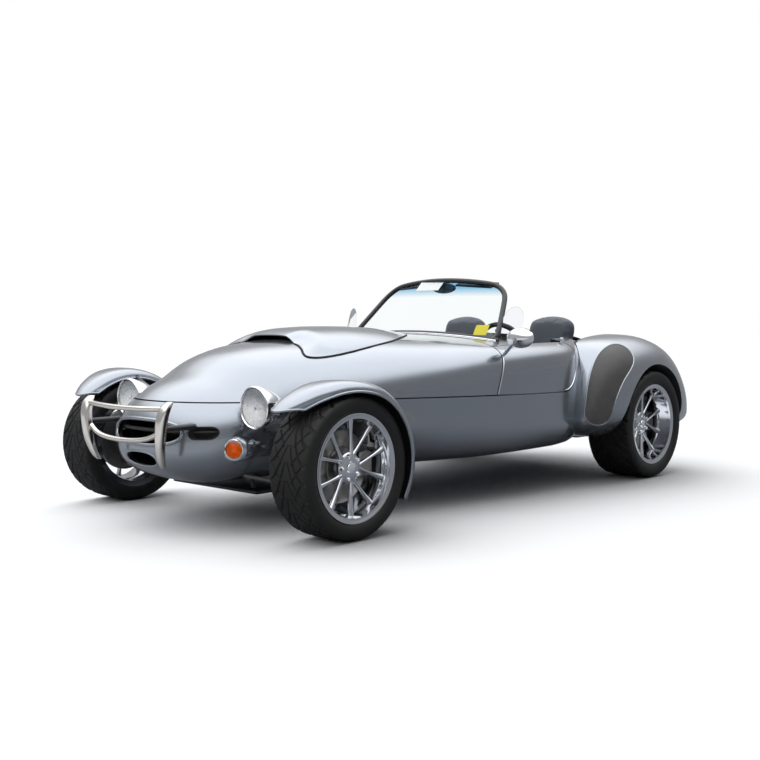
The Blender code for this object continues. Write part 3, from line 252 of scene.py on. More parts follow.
def body_top(x, y):
    """Height of the body's upper surface above the point (x, y)."""
    scale = end_round(y)
    half = value_at(BODY_STATIONS, y, 1) * scale
    waist = value_at(BODY_STATIONS, y, 2)
    up = (value_at(BODY_STATIONS, y, 3) - waist) * scale
    crown = value_at(BODY_STATIONS, y, 4) * scale
    power = value_at(BODY_STATIONS, y, 6)
    share = min(abs(x) / half, 1.0)
    rise = crown * max(1 - (share / CROWN_SHARE) ** 2, 0.0) ** 1.5
    return waist + up * (1 - share**power) ** (1 / power) + rise


def shut_line(y):
    return SHUT_LINE_Z - SHUT_LINE_RISE * y


# Mesh helpers

def linked(name, data):
    obj = bpy.data.objects.new(name, data)
    bpy.context.scene.collection.objects.link(obj)
    return obj


def mesh_object(name, points, faces):
    mesh = bpy.data.meshes.new(name)
    mesh.from_pydata([tuple(p) for p in points], [], faces)
    mesh.update()
    return linked(name, mesh)


def from_work(name, work):
    mesh = bpy.data.meshes.new(name)
    work.to_mesh(mesh)
    work.free()
    return linked(name, mesh)


def fixed(obj):
    """Applies an object's modifiers and its placement to its mesh."""
    graph = bpy.context.evaluated_depsgraph_get()
    graph.update()
    mesh = bpy.data.meshes.new_from_object(obj.evaluated_get(graph))
    mesh.transform(obj.matrix_world)
    name = obj.name
    bpy.data.objects.remove(obj, do_unlink=True)
    return linked(name, mesh)


def cleaned(obj, merge=1e-5):
    work = bmesh.new()
    work.from_mesh(obj.data)
    bmesh.ops.remove_doubles(work, verts=work.verts, dist=merge)
    bmesh.ops.recalc_face_normals(work, faces=work.faces)
    work.to_mesh(obj.data)
    work.free()
    return obj


def moved(obj, matrix):
    obj.data.transform(matrix)
    if matrix.determinant() < 0:
        obj.data.flip_normals()
    obj.data.update()
    return obj


def mirrored(obj, name):
    return moved(linked(name, obj.data.copy()), Matrix.Scale(-1, 4, (1, 0, 0)))


def merged(name, *objs):
    """Several meshes as one piece, with their materials kept."""
    objs = list(objs)
    with bpy.context.temp_override(active_object=objs[0], object=objs[0], selected_objects=objs,
                                   selected_editable_objects=objs):
        bpy.ops.object.join()
    objs[0].name = name
    return objs[0]


def loft(name, rings):
    """A skin through rings of equal length. Its two sides are mirror images."""
    count = len(rings[0])
    points = [p for ring in rings for p in ring]
    faces = []
    for r in range(len(rings) - 1):
        for k in range(count):
            a, b = r * count + k, r * count + (k + 1) % count
            faces.append((a, b, b + count, a + count))
    faces.append(tuple(reversed(range(count))))
    faces.append(tuple(range((len(rings) - 1) * count, len(rings) * count)))
    return cleaned(mesh_object(name, points, faces))


def grid(name, rows, wrap=False):
    """An open skin through rows of points, or one that closes on itself across the rows."""
    count = len(rows[0])
    points = [p for row in rows for p in row]
    last = len(rows) if wrap else len(rows) - 1
    faces = [
        (r * count + k, r * count + k + 1, (r + 1) % len(rows) * count + k + 1, (r + 1) % len(rows) * count + k)
        for r in range(last)
        for k in range(count - 1)
    ]
    return mesh_object(name, points, faces)


def solidified(obj, thickness, offset=-1.0, inner_slot=0):
    modifier = obj.modifiers.new("solidify", "SOLIDIFY")
    modifier.thickness = thickness
    modifier.offset = offset
    modifier.use_even_offset = True
    modifier.use_quality_normals = True
    modifier.material_offset = inner_slot
    return fixed(obj)


def bevelled(obj, width, segments=2, angle=35):
    modifier = obj.modifiers.new("bevel", "BEVEL")
    modifier.width = width
    modifier.segments = segments
    modifier.limit_method = "ANGLE"
    modifier.angle_limit = math.radians(angle)
    return fixed(obj)


def subdivided(obj, levels=1):
    modifier = obj.modifiers.new("subdivision", "SUBSURF")
    modifier.levels = levels
    modifier.render_levels = levels
    return fixed(obj)


def box(name, low, high):
    work = bmesh.new()
    bmesh.ops.create_cube(work, size=1.0)
    size, middle = Vector(high) - Vector(low), (Vector(high) + Vector(low)) / 2
    for v in work.verts:
        v.co = Vector((v.co.x * size.x, v.co.y * size.y, v.co.z * size.z)) + middle
    return from_work(name, work)


def rod(name, start, end, radius, end_radius=None, sides=24):
    start, end = Vector(start), Vector(end)
    axis = end - start
    work = bmesh.new()
    bmesh.ops.create_cone(work, cap_ends=True, segments=sides, radius1=radius,
                          radius2=radius if end_radius is None else end_radius, depth=axis.length)
    turn = Vector((0, 0, 1)).rotation_difference(axis.normalized()).to_matrix().to_4x4()
    work.transform(Matrix.Translation((start + end) / 2) @ turn)
    return from_work(name, work)


def turned(name, profile, steps=64, closed=False):
    """A shape turned about Z from (radius, height) points."""
    rows = []
    for k in range(steps):
        angle = 2 * math.pi * k / steps
        rows.append([(r * math.cos(angle), r * math.sin(angle), h) for r, h in profile])
    if closed:
        rows = [row + [row[0]] for row in rows]
    return cleaned(grid(name, rows, wrap=True), merge=2e-5)


def along(obj, at, direction):
    """Turns a Z-axis shape to point along a direction, and places it."""
    turn = Vector((0, 0, 1)).rotation_difference(Vector(direction).normalized()).to_matrix().to_4x4()
    return moved(obj, Matrix.Translation(Vector(at)) @ turn)


def tube(name, points, radius, cyclic=False, sides=4, radii=None):
    """A pipe along points, as a bevelled curve made into a mesh."""
    data = bpy.data.curves.new(name, "CURVE")
    data.dimensions = "3D"
    spline = data.splines.new("POLY")
    spline.points.add(len(points) - 1)
    for i, (p, co) in enumerate(zip(spline.points, points)):
        p.co = (*co, 1.0)
        p.radius = radii[i] if radii else 1.0
    spline.use_cyclic_u = cyclic
    data.bevel_depth = radius
    data.bevel_resolution = sides
    data.use_fill_caps = not cyclic
    return cleaned(fixed(linked(name, data)))


def smooth_path(points, per_span=6, cyclic=False):
    """Points on a smooth curve through a few given points."""
    pts = [Vector(p) for p in points]
    count = len(pts)
    path = []
    for i in range(count if cyclic else count - 1):
        if cyclic:
            p0, p1, p2, p3 = (pts[(i + d) % count] for d in (-1, 0, 1, 2))
        else:
            p0, p1, p2, p3 = pts[max(i - 1, 0)], pts[i], pts[i + 1], pts[min(i + 2, count - 1)]
        for k in range(per_span):
            t = k / per_span
            path.append(0.5 * ((2 * p1) + (p2 - p0) * t + (2 * p0 - 5 * p1 + 4 * p2 - p3) * t**2
                               + (3 * p1 - p0 - 3 * p2 + p3) * t**3))
    if not cyclic:
        path.append(pts[-1])
    return path


def plate(name, outline, depth, plane="YZ", at=0.0, centred=True):
    """A flat outline of (a, b) points, extruded by depth across its plane."""
    low, high = (at - depth / 2, at + depth / 2) if centred else (at, at + depth)
    place = {
        "YZ": lambda a, b, d: (d, a, b),
        "XZ": lambda a, b, d: (a, d, b),
        "XY": lambda a, b, d: (a, b, d),
    }[plane]
    return loft(name, [[place(a, b, low) for a, b in outline], [place(a, b, high) for a, b in outline]])


def rounded_rectangle(low, high, radius, steps=8):
    corners = (
        (high[0] - radius, high[1] - radius, 0), (low[0] + radius, high[1] - radius, 90),
        (low[0] + radius, low[1] + radius, 180), (high[0] - radius, low[1] + radius, 270),
    )
    outline = []
    for cx, cy, start in corners:
        for k in range(steps + 1):
            angle = math.radians(start + 90 * k / steps)
            outline.append((cx + radius * math.cos(angle), cy + radius * math.sin(angle)))
    return outline


def oval(x, z, half_width, half_height, power, steps=48):
    points = [oval_point(2 * math.pi * k / steps, power) for k in range(steps)]
    return [(x + half_width * c, z + half_height * s) for c, s in points]


def boolean(obj, tools, operation):
    for tool in tools:
        modifier = obj.modifiers.new("boolean", "BOOLEAN")
        modifier.operation = operation
        modifier.solver = "MANIFOLD"
        modifier.object = tool
        bpy.context.view_layer.update()
        obj = fixed(obj)
        bpy.data.objects.remove(tool, do_unlink=True)
    return obj


def cut(obj, *tools):
    return boolean(obj, tools, "DIFFERENCE")


def common(obj, tool):
    return boolean(obj, [tool], "INTERSECT")


# Surfaces to lay pieces on, and whose smooth shading the cut panels take

class Surface:
    """A smooth skin that finds the nearest point, or the point that a line meets, with its smooth normal."""

    def __init__(self, obj):
        mesh = obj.data
        self.points = [v.co.copy() for v in mesh.vertices]
        self.normals = [v.normal.copy() for v in mesh.vertices]
        mesh.calc_loop_triangles()
        self.faces = [tuple(t.vertices) for t in mesh.loop_triangles]
        self.tree = BVHTree.FromPolygons(self.points, self.faces)

    def smooth_normal(self, place, index):
        a, b, c = (self.points[i] for i in self.faces[index])
        area = (b - a).cross(c - a).length
        if area < 1e-14:
            return self.normals[self.faces[index][0]]
        weights = [(b - place).cross(c - place).length, (c - place).cross(a - place).length,
                   (a - place).cross(b - place).length]
        normal = Vector()
        for weight, i in zip(weights, self.faces[index]):
            normal += self.normals[i] * (weight / area)
        return normal.normalized()

    def nearest(self, place, within=1.0):
        found = self.tree.find_nearest(place, within)
        if found[0] is None:
            return None
        return found[0], self.smooth_normal(found[0], found[2])

    def met(self, start, direction):
        found = self.tree.ray_cast(Vector(start), Vector(direction).normalized())
        if found[0] is None:
            return None
        return found[0], self.smooth_normal(found[0], found[2])

    def laid(self, start, direction, lift=0.0):
        """The point where a line meets the skin, lifted off it."""
        place, normal = self.met(start, direction)
        return place + normal * lift


def shade(obj, angle=35):
    obj.data.shade_smooth()
    obj.data.set_sharp_from_angle(angle=math.radians(angle))
    return obj


def shade_like(obj, surface, within=0.0012, limit=0.85):
    """Shades a cut panel like the smooth skin it was cut from, so that its faces show no seams."""
    mesh = obj.data
    mesh.update()
    place_normal = {}
    for v in mesh.vertices:
        found = surface.nearest(v.co, within)
        if found:
            place_normal[v.index] = found[1]
    mesh.shade_smooth()
    custom = [(0.0, 0.0, 0.0)] * len(mesh.loops)
    on_skin = {}
    for face in mesh.polygons:
        skin = all(i in place_normal and place_normal[i].dot(face.normal) > limit for i in face.vertices)
        on_skin[face.index] = skin
        if skin:
            for loop in face.loop_indices:
                custom[loop] = tuple(place_normal[mesh.loops[loop].vertex_index])
    beside = {}
    for face in mesh.polygons:
        for key in face.edge_keys:
            beside.setdefault(key, []).append(face)
    for edge in mesh.edges:
        faces = beside.get(edge.key, [])
        if len(faces) == 2:
            a, b = faces
            edge.use_edge_sharp = on_skin[a.index] != on_skin[b.index] or (
                not on_skin[a.index] and a.normal.dot(b.normal) < 0.82)
    mesh.normals_split_custom_set(custom)
    return obj


# Shader node groups

def new_group(name, inputs, outputs):
    tree = bpy.data.node_groups.new(name, "ShaderNodeTree")
    for label, kind, value in inputs:
        tree.interface.new_socket(name=label, in_out="INPUT", socket_type=kind).default_value = value
    for label, kind in outputs:
        tree.interface.new_socket(name=label, in_out="OUTPUT", socket_type=kind)
    return tree, tree.nodes.new("NodeGroupInput"), tree.nodes.new("NodeGroupOutput")


def feed(tree, socket, value):
    """Links a socket to the one it takes its value from, or sets its value."""
    if isinstance(value, bpy.types.NodeSocket):
        tree.links.new(value, socket)
    else:
        socket.default_value = value


def object_place(tree):
    return tree.nodes.new("ShaderNodeTexCoord").outputs["Object"]


def parts_of(tree, place):
    """The X, Y and Z of a place, as the outputs of one node."""
    node = tree.nodes.new("ShaderNodeSeparateXYZ")
    tree.links.new(place, node.inputs["Vector"])
    return node.outputs


def cells_node(tree, scale):
    """The distance from the middle of small cells spread over an object."""
    node = tree.nodes.new("ShaderNodeTexVoronoi")
    node.inputs["Scale"].default_value = scale
    tree.links.new(object_place(tree), node.inputs["Vector"])
    return node.outputs["Distance"]


def bump_node(tree, height, strength, distance):
    node = tree.nodes.new("ShaderNodeBump")
    for label, value in (("Strength", strength), ("Distance", distance), ("Height", height)):
        feed(tree, node.inputs[label], value)
    return node.outputs["Normal"]


def noise_node(tree, coordinates, scale, detail=4.0, roughness=0.55):
    node = tree.nodes.new("ShaderNodeTexNoise")
    node.inputs["Detail"].default_value = detail
    node.inputs["Roughness"].default_value = roughness
    tree.links.new(coordinates, node.inputs["Vector"])
    feed(tree, node.inputs["Scale"], scale)
    return node


def range_node(tree, value, low, high, out_low=0.0, out_high=1.0):
    node = tree.nodes.new("ShaderNodeMapRange")
    for label, number in (("From Min", low), ("From Max", high), ("To Min", out_low), ("To Max", out_high)):
        node.inputs[label].default_value = number
    tree.links.new(value, node.inputs["Value"])
    return node.outputs["Result"]


def mixed_colour(tree, factor, first, second):
    node = tree.nodes.new("ShaderNodeMix")
    node.data_type = "RGBA"
    for label, value in (("Factor", factor), ("A", first), ("B", second)):
        feed(tree, node.inputs[label], value)
    return node.outputs["Result"]


def math_node(tree, operation, first, second):
    node = tree.nodes.new("ShaderNodeMath")
    node.operation = operation
    for socket, value in zip(node.inputs, (first, second)):
        feed(tree, socket, value)
    return node.outputs["Value"]


def make_uneven_finish():
    """A finish that varies a little over the surface: its colour between two values, and its roughness."""
    tree, given, out = new_group(
        "uneven_finish",
        [("First", "NodeSocketColor", (0.5, 0.5, 0.5, 1)), ("Second", "NodeSocketColor", (0.4, 0.4, 0.4, 1)),
         ("Scale", "NodeSocketFloat", 6.0), ("Roughness", "NodeSocketFloat", 0.4), ("Spread", "NodeSocketFloat", 0.1)],
        [("Color", "NodeSocketColor"), ("Roughness", "NodeSocketFloat")],
    )
    noise = noise_node(tree, object_place(tree), given.outputs["Scale"])
    share = range_node(tree, noise.outputs["Fac"], 0.30, 0.70)
    tree.links.new(mixed_colour(tree, share, given.outputs["First"], given.outputs["Second"]), out.inputs["Color"])
    centred = math_node(tree, "SUBTRACT", noise.outputs["Fac"], 0.5)
    spread = math_node(tree, "MULTIPLY", centred, given.outputs["Spread"])
    tree.links.new(math_node(tree, "ADD", given.outputs["Roughness"], spread), out.inputs["Roughness"])
    return tree


def make_fine_relief():
    """A fine uneven surface, as in orange peel, grain or casting, put out as a normal."""
    tree, given, out = new_group(
        "fine_relief",
        [("Scale", "NodeSocketFloat", 400.0), ("Depth", "NodeSocketFloat", 0.0002),
         ("Strength", "NodeSocketFloat", 0.3)],
        [("Normal", "NodeSocketVector")],
    )
    noise = noise_node(tree, object_place(tree), given.outputs["Scale"], detail=2.0)
    normal = bump_node(tree, noise.outputs["Fac"], given.outputs["Strength"], given.outputs["Depth"])
    tree.links.new(normal, out.inputs["Normal"])
    return tree


def make_pebble_grain():
    """Leather grain: small cells with soft creases between them."""
    tree, given, out = new_group(
        "pebble_grain",
        [("Scale", "NodeSocketFloat", 300.0), ("Depth", "NodeSocketFloat", 0.0004)],
        [("Creases", "NodeSocketFloat"), ("Normal", "NodeSocketVector")],
    )
    cells = tree.nodes.new("ShaderNodeTexVoronoi")
    cells.feature = "DISTANCE_TO_EDGE"
    tree.links.new(object_place(tree), cells.inputs["Vector"])
    tree.links.new(given.outputs["Scale"], cells.inputs["Scale"])
    creases = range_node(tree, cells.outputs["Distance"], 0.0, 0.12)
    tree.links.new(creases, out.inputs["Creases"])
    tree.links.new(bump_node(tree, creases, 0.5, given.outputs["Depth"]), out.inputs["Normal"])
    return tree


def make_road_dust():
    """A thin film of dust that thickens towards the ground."""
    tree, given, out = new_group(
        "road_dust",
        [("Color", "NodeSocketColor", (0.5, 0.5, 0.5, 1)), ("Dust", "NodeSocketColor", (0.24, 0.22, 0.20, 1)),
         ("Height", "NodeSocketFloat", 0.5), ("Amount", "NodeSocketFloat", 0.25)],
        [("Color", "NodeSocketColor"), ("Mask", "NodeSocketFloat")],
    )
    position = tree.nodes.new("ShaderNodeNewGeometry").outputs["Position"]
    share = math_node(tree, "DIVIDE", parts_of(tree, position)["Z"], given.outputs["Height"])
    low = range_node(tree, share, 0.0, 1.0, 1.0, 0.0)
    noise = noise_node(tree, position, 9.0, detail=6.0)
    patchy = math_node(tree, "MULTIPLY", low, range_node(tree, noise.outputs["Fac"], 0.3, 0.75))
    mask = math_node(tree, "MULTIPLY", patchy, given.outputs["Amount"])
    tree.links.new(mixed_colour(tree, mask, given.outputs["Color"], given.outputs["Dust"]), out.inputs["Color"])
    tree.links.new(mask, out.inputs["Mask"])
    return tree


GROUPS = {
    "uneven_finish": make_uneven_finish(),
    "fine_relief": make_fine_relief(),
    "pebble_grain": make_pebble_grain(),
    "road_dust": make_road_dust(),
}


# Materials

def placed_group(tree, name, **values):
    node = tree.nodes.new("ShaderNodeGroup")
    node.node_tree = GROUPS[name]
    for label, value in values.items():
        feed(tree, node.inputs[label], value)
    return node


def new_material(name):
    made = bpy.data.materials.new(name)
    made.use_nodes = True
    return made, *tree_and_shader(made)


def tree_and_shader(made):
    return made.node_tree, made.node_tree.nodes["Principled BSDF"]


def set_values(shader, **values):
    for label, value in values.items():
        shader.inputs[label.replace("_", " ")].default_value = value


def finish_material(name, first, second=None, roughness=0.4, spread=0.08, metallic=0.0, scale=6.0, relief=None,
                    grain=None, dust=0.0, **shader_values):
    """A Principled material whose colour and roughness vary, with a fine relief or a grain and road dust."""
    made, tree, shader = new_material(name)
    second = second or tuple(c * 0.86 for c in first)
    varied = placed_group(tree, "uneven_finish", First=(*first, 1), Second=(*second, 1), Scale=scale,
                          Roughness=roughness, Spread=spread)
    colour = varied.outputs["Color"]
    if grain:
        node = placed_group(tree, "pebble_grain", Scale=grain[0], Depth=grain[1])
        colour = mixed_colour(tree, node.outputs["Creases"], (*(c * 0.55 for c in first), 1), colour)
        tree.links.new(node.outputs["Normal"], shader.inputs["Normal"])
    if relief:
        node = placed_group(tree, "fine_relief", Scale=relief[0], Depth=relief[1], Strength=relief[2])
        tree.links.new(node.outputs["Normal"], shader.inputs["Normal"])
    if dust:
        node = placed_group(tree, "road_dust", Color=colour, Amount=dust)
        colour = node.outputs["Color"]
    tree.links.new(colour, shader.inputs["Base Color"])
    tree.links.new(varied.outputs["Roughness"], shader.inputs["Roughness"])
    set_values(shader, Metallic=metallic, **shader_values)
    return made


def make_paint():
    """Silver-grey metallic paint: bright flakes under a clear coat."""
    made = finish_material("silver_grey_paint", (0.262, 0.285, 0.320), (0.246, 0.268, 0.302), 0.23, 0.05,
                           metallic=0.80, scale=3.0, dust=0.10, Coat_Weight=1.0, Coat_Roughness=0.03, Coat_IOR=1.5)
    tree, shader = tree_and_shader(made)
    flakes = cells_node(tree, 900.0)
    tree.links.new(bump_node(tree, flakes, 0.10, 0.0003), shader.inputs["Normal"])
    return made


# The heights between which the screen's blue band fades in
TINT_BAND_Z = (1.118, 1.172)


def make_tinted_glass():
    """Clear screen glass with a blue band along its top."""
    made, tree, shader = new_material("screen_glass")
    position = tree.nodes.new("ShaderNodeNewGeometry").outputs["Position"]
    share = range_node(tree, parts_of(tree, position)["Z"], *TINT_BAND_Z)
    tinted = mixed_colour(tree, share, (0.93, 0.965, 0.965, 1), (0.24, 0.52, 0.74, 1))
    tree.links.new(tinted, shader.inputs["Base Color"])
    set_values(shader, Roughness=0.01, Transmission_Weight=1.0, IOR=1.08)
    return made


def make_clear_plate():
    """Thin clear plastic with a faint haze."""
    made, tree, shader = new_material("clear_plate")
    haze = noise_node(tree, object_place(tree), 6.0)
    hazy = mixed_colour(tree, haze.outputs["Fac"], (0.93, 0.94, 0.965, 1), (0.90, 0.915, 0.945, 1))
    tree.links.new(hazy, shader.inputs["Base Color"])
    set_values(shader, Roughness=0.02, Transmission_Weight=1.0, IOR=1.05)
    return made


def make_lens(name, colour, ior, roughness=0.03):
    """Lamp glass, coloured and dimpled."""
    made, tree, shader = new_material(name)
    dimples = cells_node(tree, 70.0)
    tree.links.new(bump_node(tree, dimples, 0.35, 0.002), shader.inputs["Normal"])
    tree.links.new(mixed_colour(tree, dimples, (*colour, 1), (*(c * 0.8 for c in colour), 1)),
                   shader.inputs["Base Color"])
    set_values(shader, Roughness=roughness, Transmission_Weight=1.0, IOR=ior)
    return made


def make_stone_guard():
    """Dark stone-guard film with a fine diamond weave."""
    made = finish_material("stone_guard_film", (0.050, 0.048, 0.047), (0.070, 0.067, 0.064), 0.50, 0.10, scale=14.0,
                           dust=0.25)
    tree, shader = tree_and_shader(made)
    heights = []
    for turn in (45, -45):
        mapping = tree.nodes.new("ShaderNodeMapping")
        mapping.inputs["Rotation"].default_value = (math.radians(turn), 0, 0)
        tree.links.new(object_place(tree), mapping.inputs["Vector"])
        wave = tree.nodes.new("ShaderNodeTexWave")
        wave.bands_direction = "Y"
        wave.inputs["Scale"].default_value = 60.0
        tree.links.new(mapping.outputs["Vector"], wave.inputs["Vector"])
        heights.append(wave.outputs["Fac"])
    woven = math_node(tree, "MULTIPLY", *heights)
    tree.links.new(bump_node(tree, woven, 0.6, 0.0008), shader.inputs["Normal"])
    return made


PAINT = make_paint()
CHROME = finish_material("polished_chrome", (0.84, 0.85, 0.87), (0.80, 0.81, 0.83), 0.07, 0.04, metallic=1.0, dust=0.04)
WHEEL_CHROME = finish_material("wheel_chrome", (0.56, 0.575, 0.60), (0.48, 0.49, 0.515), 0.09, 0.06, metallic=1.0,
                               dust=0.10)
NICKEL = finish_material("satin_nickel", (0.80, 0.76, 0.71), (0.70, 0.66, 0.61), 0.16, 0.10, metallic=1.0, scale=18.0,
                         relief=(220.0, 0.0002, 0.15))
STEEL = finish_material("chassis_steel", (0.16, 0.16, 0.165), (0.10, 0.10, 0.10), 0.48, 0.2, metallic=0.8, scale=20.0,
                        relief=(160.0, 0.0004, 0.4), dust=0.35)
ALLOY = finish_material("cast_alloy", (0.42, 0.41, 0.39), (0.30, 0.29, 0.28), 0.45, 0.15, metallic=0.9, scale=24.0,
                        relief=(240.0, 0.0004, 0.4), dust=0.25)
DISC_STEEL = finish_material("brake_disc_steel", (0.30, 0.29, 0.28), (0.20, 0.19, 0.18), 0.32, 0.15, metallic=1.0,
                             scale=30.0)
RUBBER = finish_material("tyre_rubber", (0.0065, 0.0065, 0.007), (0.010, 0.0098, 0.0095), 0.58, 0.12, scale=16.0,
                         relief=(500.0, 0.0003, 0.35), dust=0.03, Specular_IOR_Level=0.28)
BLACK = finish_material("satin_black_trim", (0.012, 0.012, 0.013), (0.020, 0.020, 0.021), 0.42, 0.12, scale=20.0,
                        relief=(600.0, 0.0002, 0.2))
# Matt black for the insides and cut edges of panels and wings; the same black also paints shade, on a sheet in the
# scoop's opening and along the rear wings' joints.
DARK = finish_material("matt_black_inside_and_shade", (0.006, 0.006, 0.007), (0.012, 0.012, 0.012), 0.85, 0.1, scale=12.0)
GLASS = make_tinted_glass()
CLEAR_PLATE = make_clear_plate()
CLEAR_LENS = make_lens("clear_lens", (0.96, 0.97, 0.98), 1.12)
AMBER_LENS = make_lens("amber_lens", (1.0, 0.52, 0.10), 1.3, 0.10)
REFLECTOR = finish_material("lamp_reflector", (0.93, 0.93, 0.92), (0.86, 0.86, 0.86), 0.30, 0.2, metallic=1.0,
                            scale=40.0,
                            relief=(90.0, 0.003, 0.9))
RED_LENS = make_lens("red_lens", (0.62, 0.01, 0.012), 1.3, 0.08)
# The indicator's amber reflector has a faint painted glow that brightens the lens.
GLOWING_AMBER_BACK = finish_material("amber_reflector_painted_glow", (1.0, 0.42, 0.035), (0.62, 0.15, 0.006), 0.30, 0.1, scale=70.0,
                             relief=(110.0, 0.003, 0.9), Emission_Color=(1.0, 0.36, 0.03, 1.0), Emission_Strength=0.10)
LEATHER = finish_material("navy_leather", (0.046, 0.058, 0.082), (0.034, 0.044, 0.066), 0.46, 0.12, scale=10.0,
                          grain=(260.0, 0.0006), Sheen_Weight=0.15)
DARK_LEATHER = finish_material("black_leather", (0.016, 0.017, 0.019), (0.010, 0.011, 0.012), 0.45, 0.12, scale=10.0,
                               grain=(260.0, 0.0006))
CARPET = finish_material("charcoal_carpet", (0.022, 0.023, 0.026), (0.034, 0.035, 0.038), 0.95, 0.05, scale=90.0,
                         relief=(700.0, 0.002, 0.9), Sheen_Weight=0.4)
STONE_GUARD = make_stone_guard()
WHITE_CARD = finish_material("white_card", (0.86, 0.87, 0.86), (0.82, 0.83, 0.82), 0.55, 0.05, scale=30.0)
YELLOW_CARD = finish_material("yellow_card", (0.95, 0.78, 0.05), (0.90, 0.72, 0.04), 0.55, 0.05, scale=30.0)
MIRROR_GLASS = finish_material("mirror_silvering", (0.86, 0.88, 0.90), (0.84, 0.86, 0.88), 0.02, 0.01, metallic=1.0)
ENGINE_METAL = finish_material("cast_iron", (0.10, 0.10, 0.105), (0.07, 0.07, 0.07), 0.55, 0.2, metallic=0.7,
                               scale=14.0, relief=(120.0, 0.001, 0.5), dust=0.3)


def piece(obj, name, looks, body="chassis", replaces=(), angle=35, smooth=True):
    """Names a piece, gives it its materials and lets it ride on its body."""
    obj.name = name
    obj.data.name = name
    looks = looks if isinstance(looks, list) else [looks]
    if len(obj.data.materials) != len(looks):
        dressed(obj, *looks)
    for i, look in enumerate(looks):
        obj.data.materials[i] = look
    if smooth:
        shade(obj, angle)
    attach(obj, body)
    if replaces:
        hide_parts(*([replaces] if isinstance(replaces, str) else replaces))
    return obj


def dressed(obj, *looks):
    """Gives a mesh its materials; all its faces take the first."""
    obj.data.materials.clear()
    for look in looks:
        obj.data.materials.append(look)
    return obj


SIDES = (("left", 1), ("right", -1))
DOORS = ("door_body_left", "door_body_right")


def piece_pair(obj, name, looks, bodies=("chassis", "chassis"), replaces=None, angle=35, smooth=True):
    """A left piece and its mirror image on the right."""
    right = mirrored(obj, name + "_right")
    for made, (side, _), body in zip((obj, right), SIDES, bodies):
        piece(made, f"{name}_{side}", looks, body, (f"{replaces}_{side}",) if replaces else (), angle, smooth)
    return obj, right


# Body panels

NOSE_STEPS = (0.0008, 0.003, 0.007, 0.013, 0.021, 0.032, 0.046, 0.064, 0.086, 0.112)
NOSE_ZONE = 0.14
NOSE_DRAW_Y = -1.35
NOSE_DRAW_LENGTH = 0.5
NOSE_NARROWING = 0.11
NOSE_SHORTENING = 0.045
# The blister behind the front wheel: its middle's y and z, and how far it stands out
FLANK_BULGE = (-0.90, 0.425, 0.030)
FLANK_BULGE_LENGTH = 0.21
FLANK_BULGE_HEIGHT = 0.085


def stations(grow, step):
    low, high = NOSE_Y - grow, TAIL_Y + grow
    ys = [low + s for s in NOSE_STEPS]
    straight = high - low - 2 * NOSE_ZONE
    count = round(straight / step)
    ys += [low + NOSE_ZONE + straight * k / count for k in range(count + 1)]
    return ys + [high - s for s in reversed(NOSE_STEPS)]


def body_solid(name, grow=0.0, step=STATION_STEP, count=RING_POINTS, bulged=False):
    rings = [[nose_moved(p) for p in body_section(y, grow, count)] for y in stations(grow, step)]
    if bulged:
        rings = [[bulge_moved(p) for p in ring] for ring in rings]
    return loft(name, rings)


def nose_moved(p):
    """Draws the nose in at its sides and back at its tip."""
    x, y, z = p
    share = eased((NOSE_DRAW_Y - y) / NOSE_DRAW_LENGTH)
    return x * (1 - NOSE_NARROWING * share), y + NOSE_SHORTENING * share, z


def bulge_moved(p):
    """Swells the flank behind the front wheel into a long drop-shaped blister."""
    x, y, z = p
    middle_y, middle_z, height = FLANK_BULGE
    along_share = (y - middle_y) / FLANK_BULGE_LENGTH
    if along_share > 0:
        along_share *= 0.8
    up_share = (z - middle_z) / (FLANK_BULGE_HEIGHT * (1.15 - 0.35 * max(min(along_share, 1), -1)))
    share = math.exp(-along_share**2 * 1.6 - up_share**2 * 1.6)
    return (x + math.copysign(height * share, x) if abs(x) > 0.2 else x, y, z)


def inner_solid(thickness):
    return body_solid("inside", -thickness, 0.055, 72)


def upper_region(offset):
    """Everything over the shut line and ahead of the doors' rear edge, drawn in by an offset."""
    middle = DOOR_REAR_Y - DOOR_CORNER
    centre_z = shut_line(middle) + DOOR_CORNER
    radius = DOOR_CORNER - offset
    outline = [(-2.3, shut_line(-2.3) + offset), (middle, shut_line(middle) + offset)]
    for k in range(1, 19):
        angle = math.radians(-90 + 5 * k)
        outline.append((middle + radius * math.cos(angle), centre_z + radius * math.sin(angle)))
    outline += [(DOOR_REAR_Y - offset, 1.4), (-2.3, 1.4)]
    return plate("upper_region", outline, 2.4)


def seam_region(offset, ahead):
    low, high = 0.2, 1.4
    seam = [(DOOR_SEAM_Y + DOOR_SEAM_LEAN * (z - SHUT_LINE_Z) + offset, z) for z in (low, high)]
    end = -2.3 if ahead else 2.3
    return plate("seam_region", [(end, low), *seam, (end, high)], 2.4)


def panel(obj, name, body, replaces, surface):
    """A painted panel: its outer skin is shaded like the whole body, and its edges and inside are dark."""
    dressed(obj, PAINT, DARK)
    shade_like(obj, surface)
    skin_faces(obj, surface)
    piece(obj, name, [PAINT, DARK], body, replaces, smooth=False)


def skin_faces(obj, surface, within=0.0012, facing=0.7):
    """Puts the second material on every face that isn't on the outer skin."""
    for face in obj.data.polygons:
        found = surface.nearest(face.center, within)
        face.material_index = 0 if found and found[1].dot(face.normal) > facing else 1


outer = body_solid("outer", bulged=True)
BODY = Surface(outer)

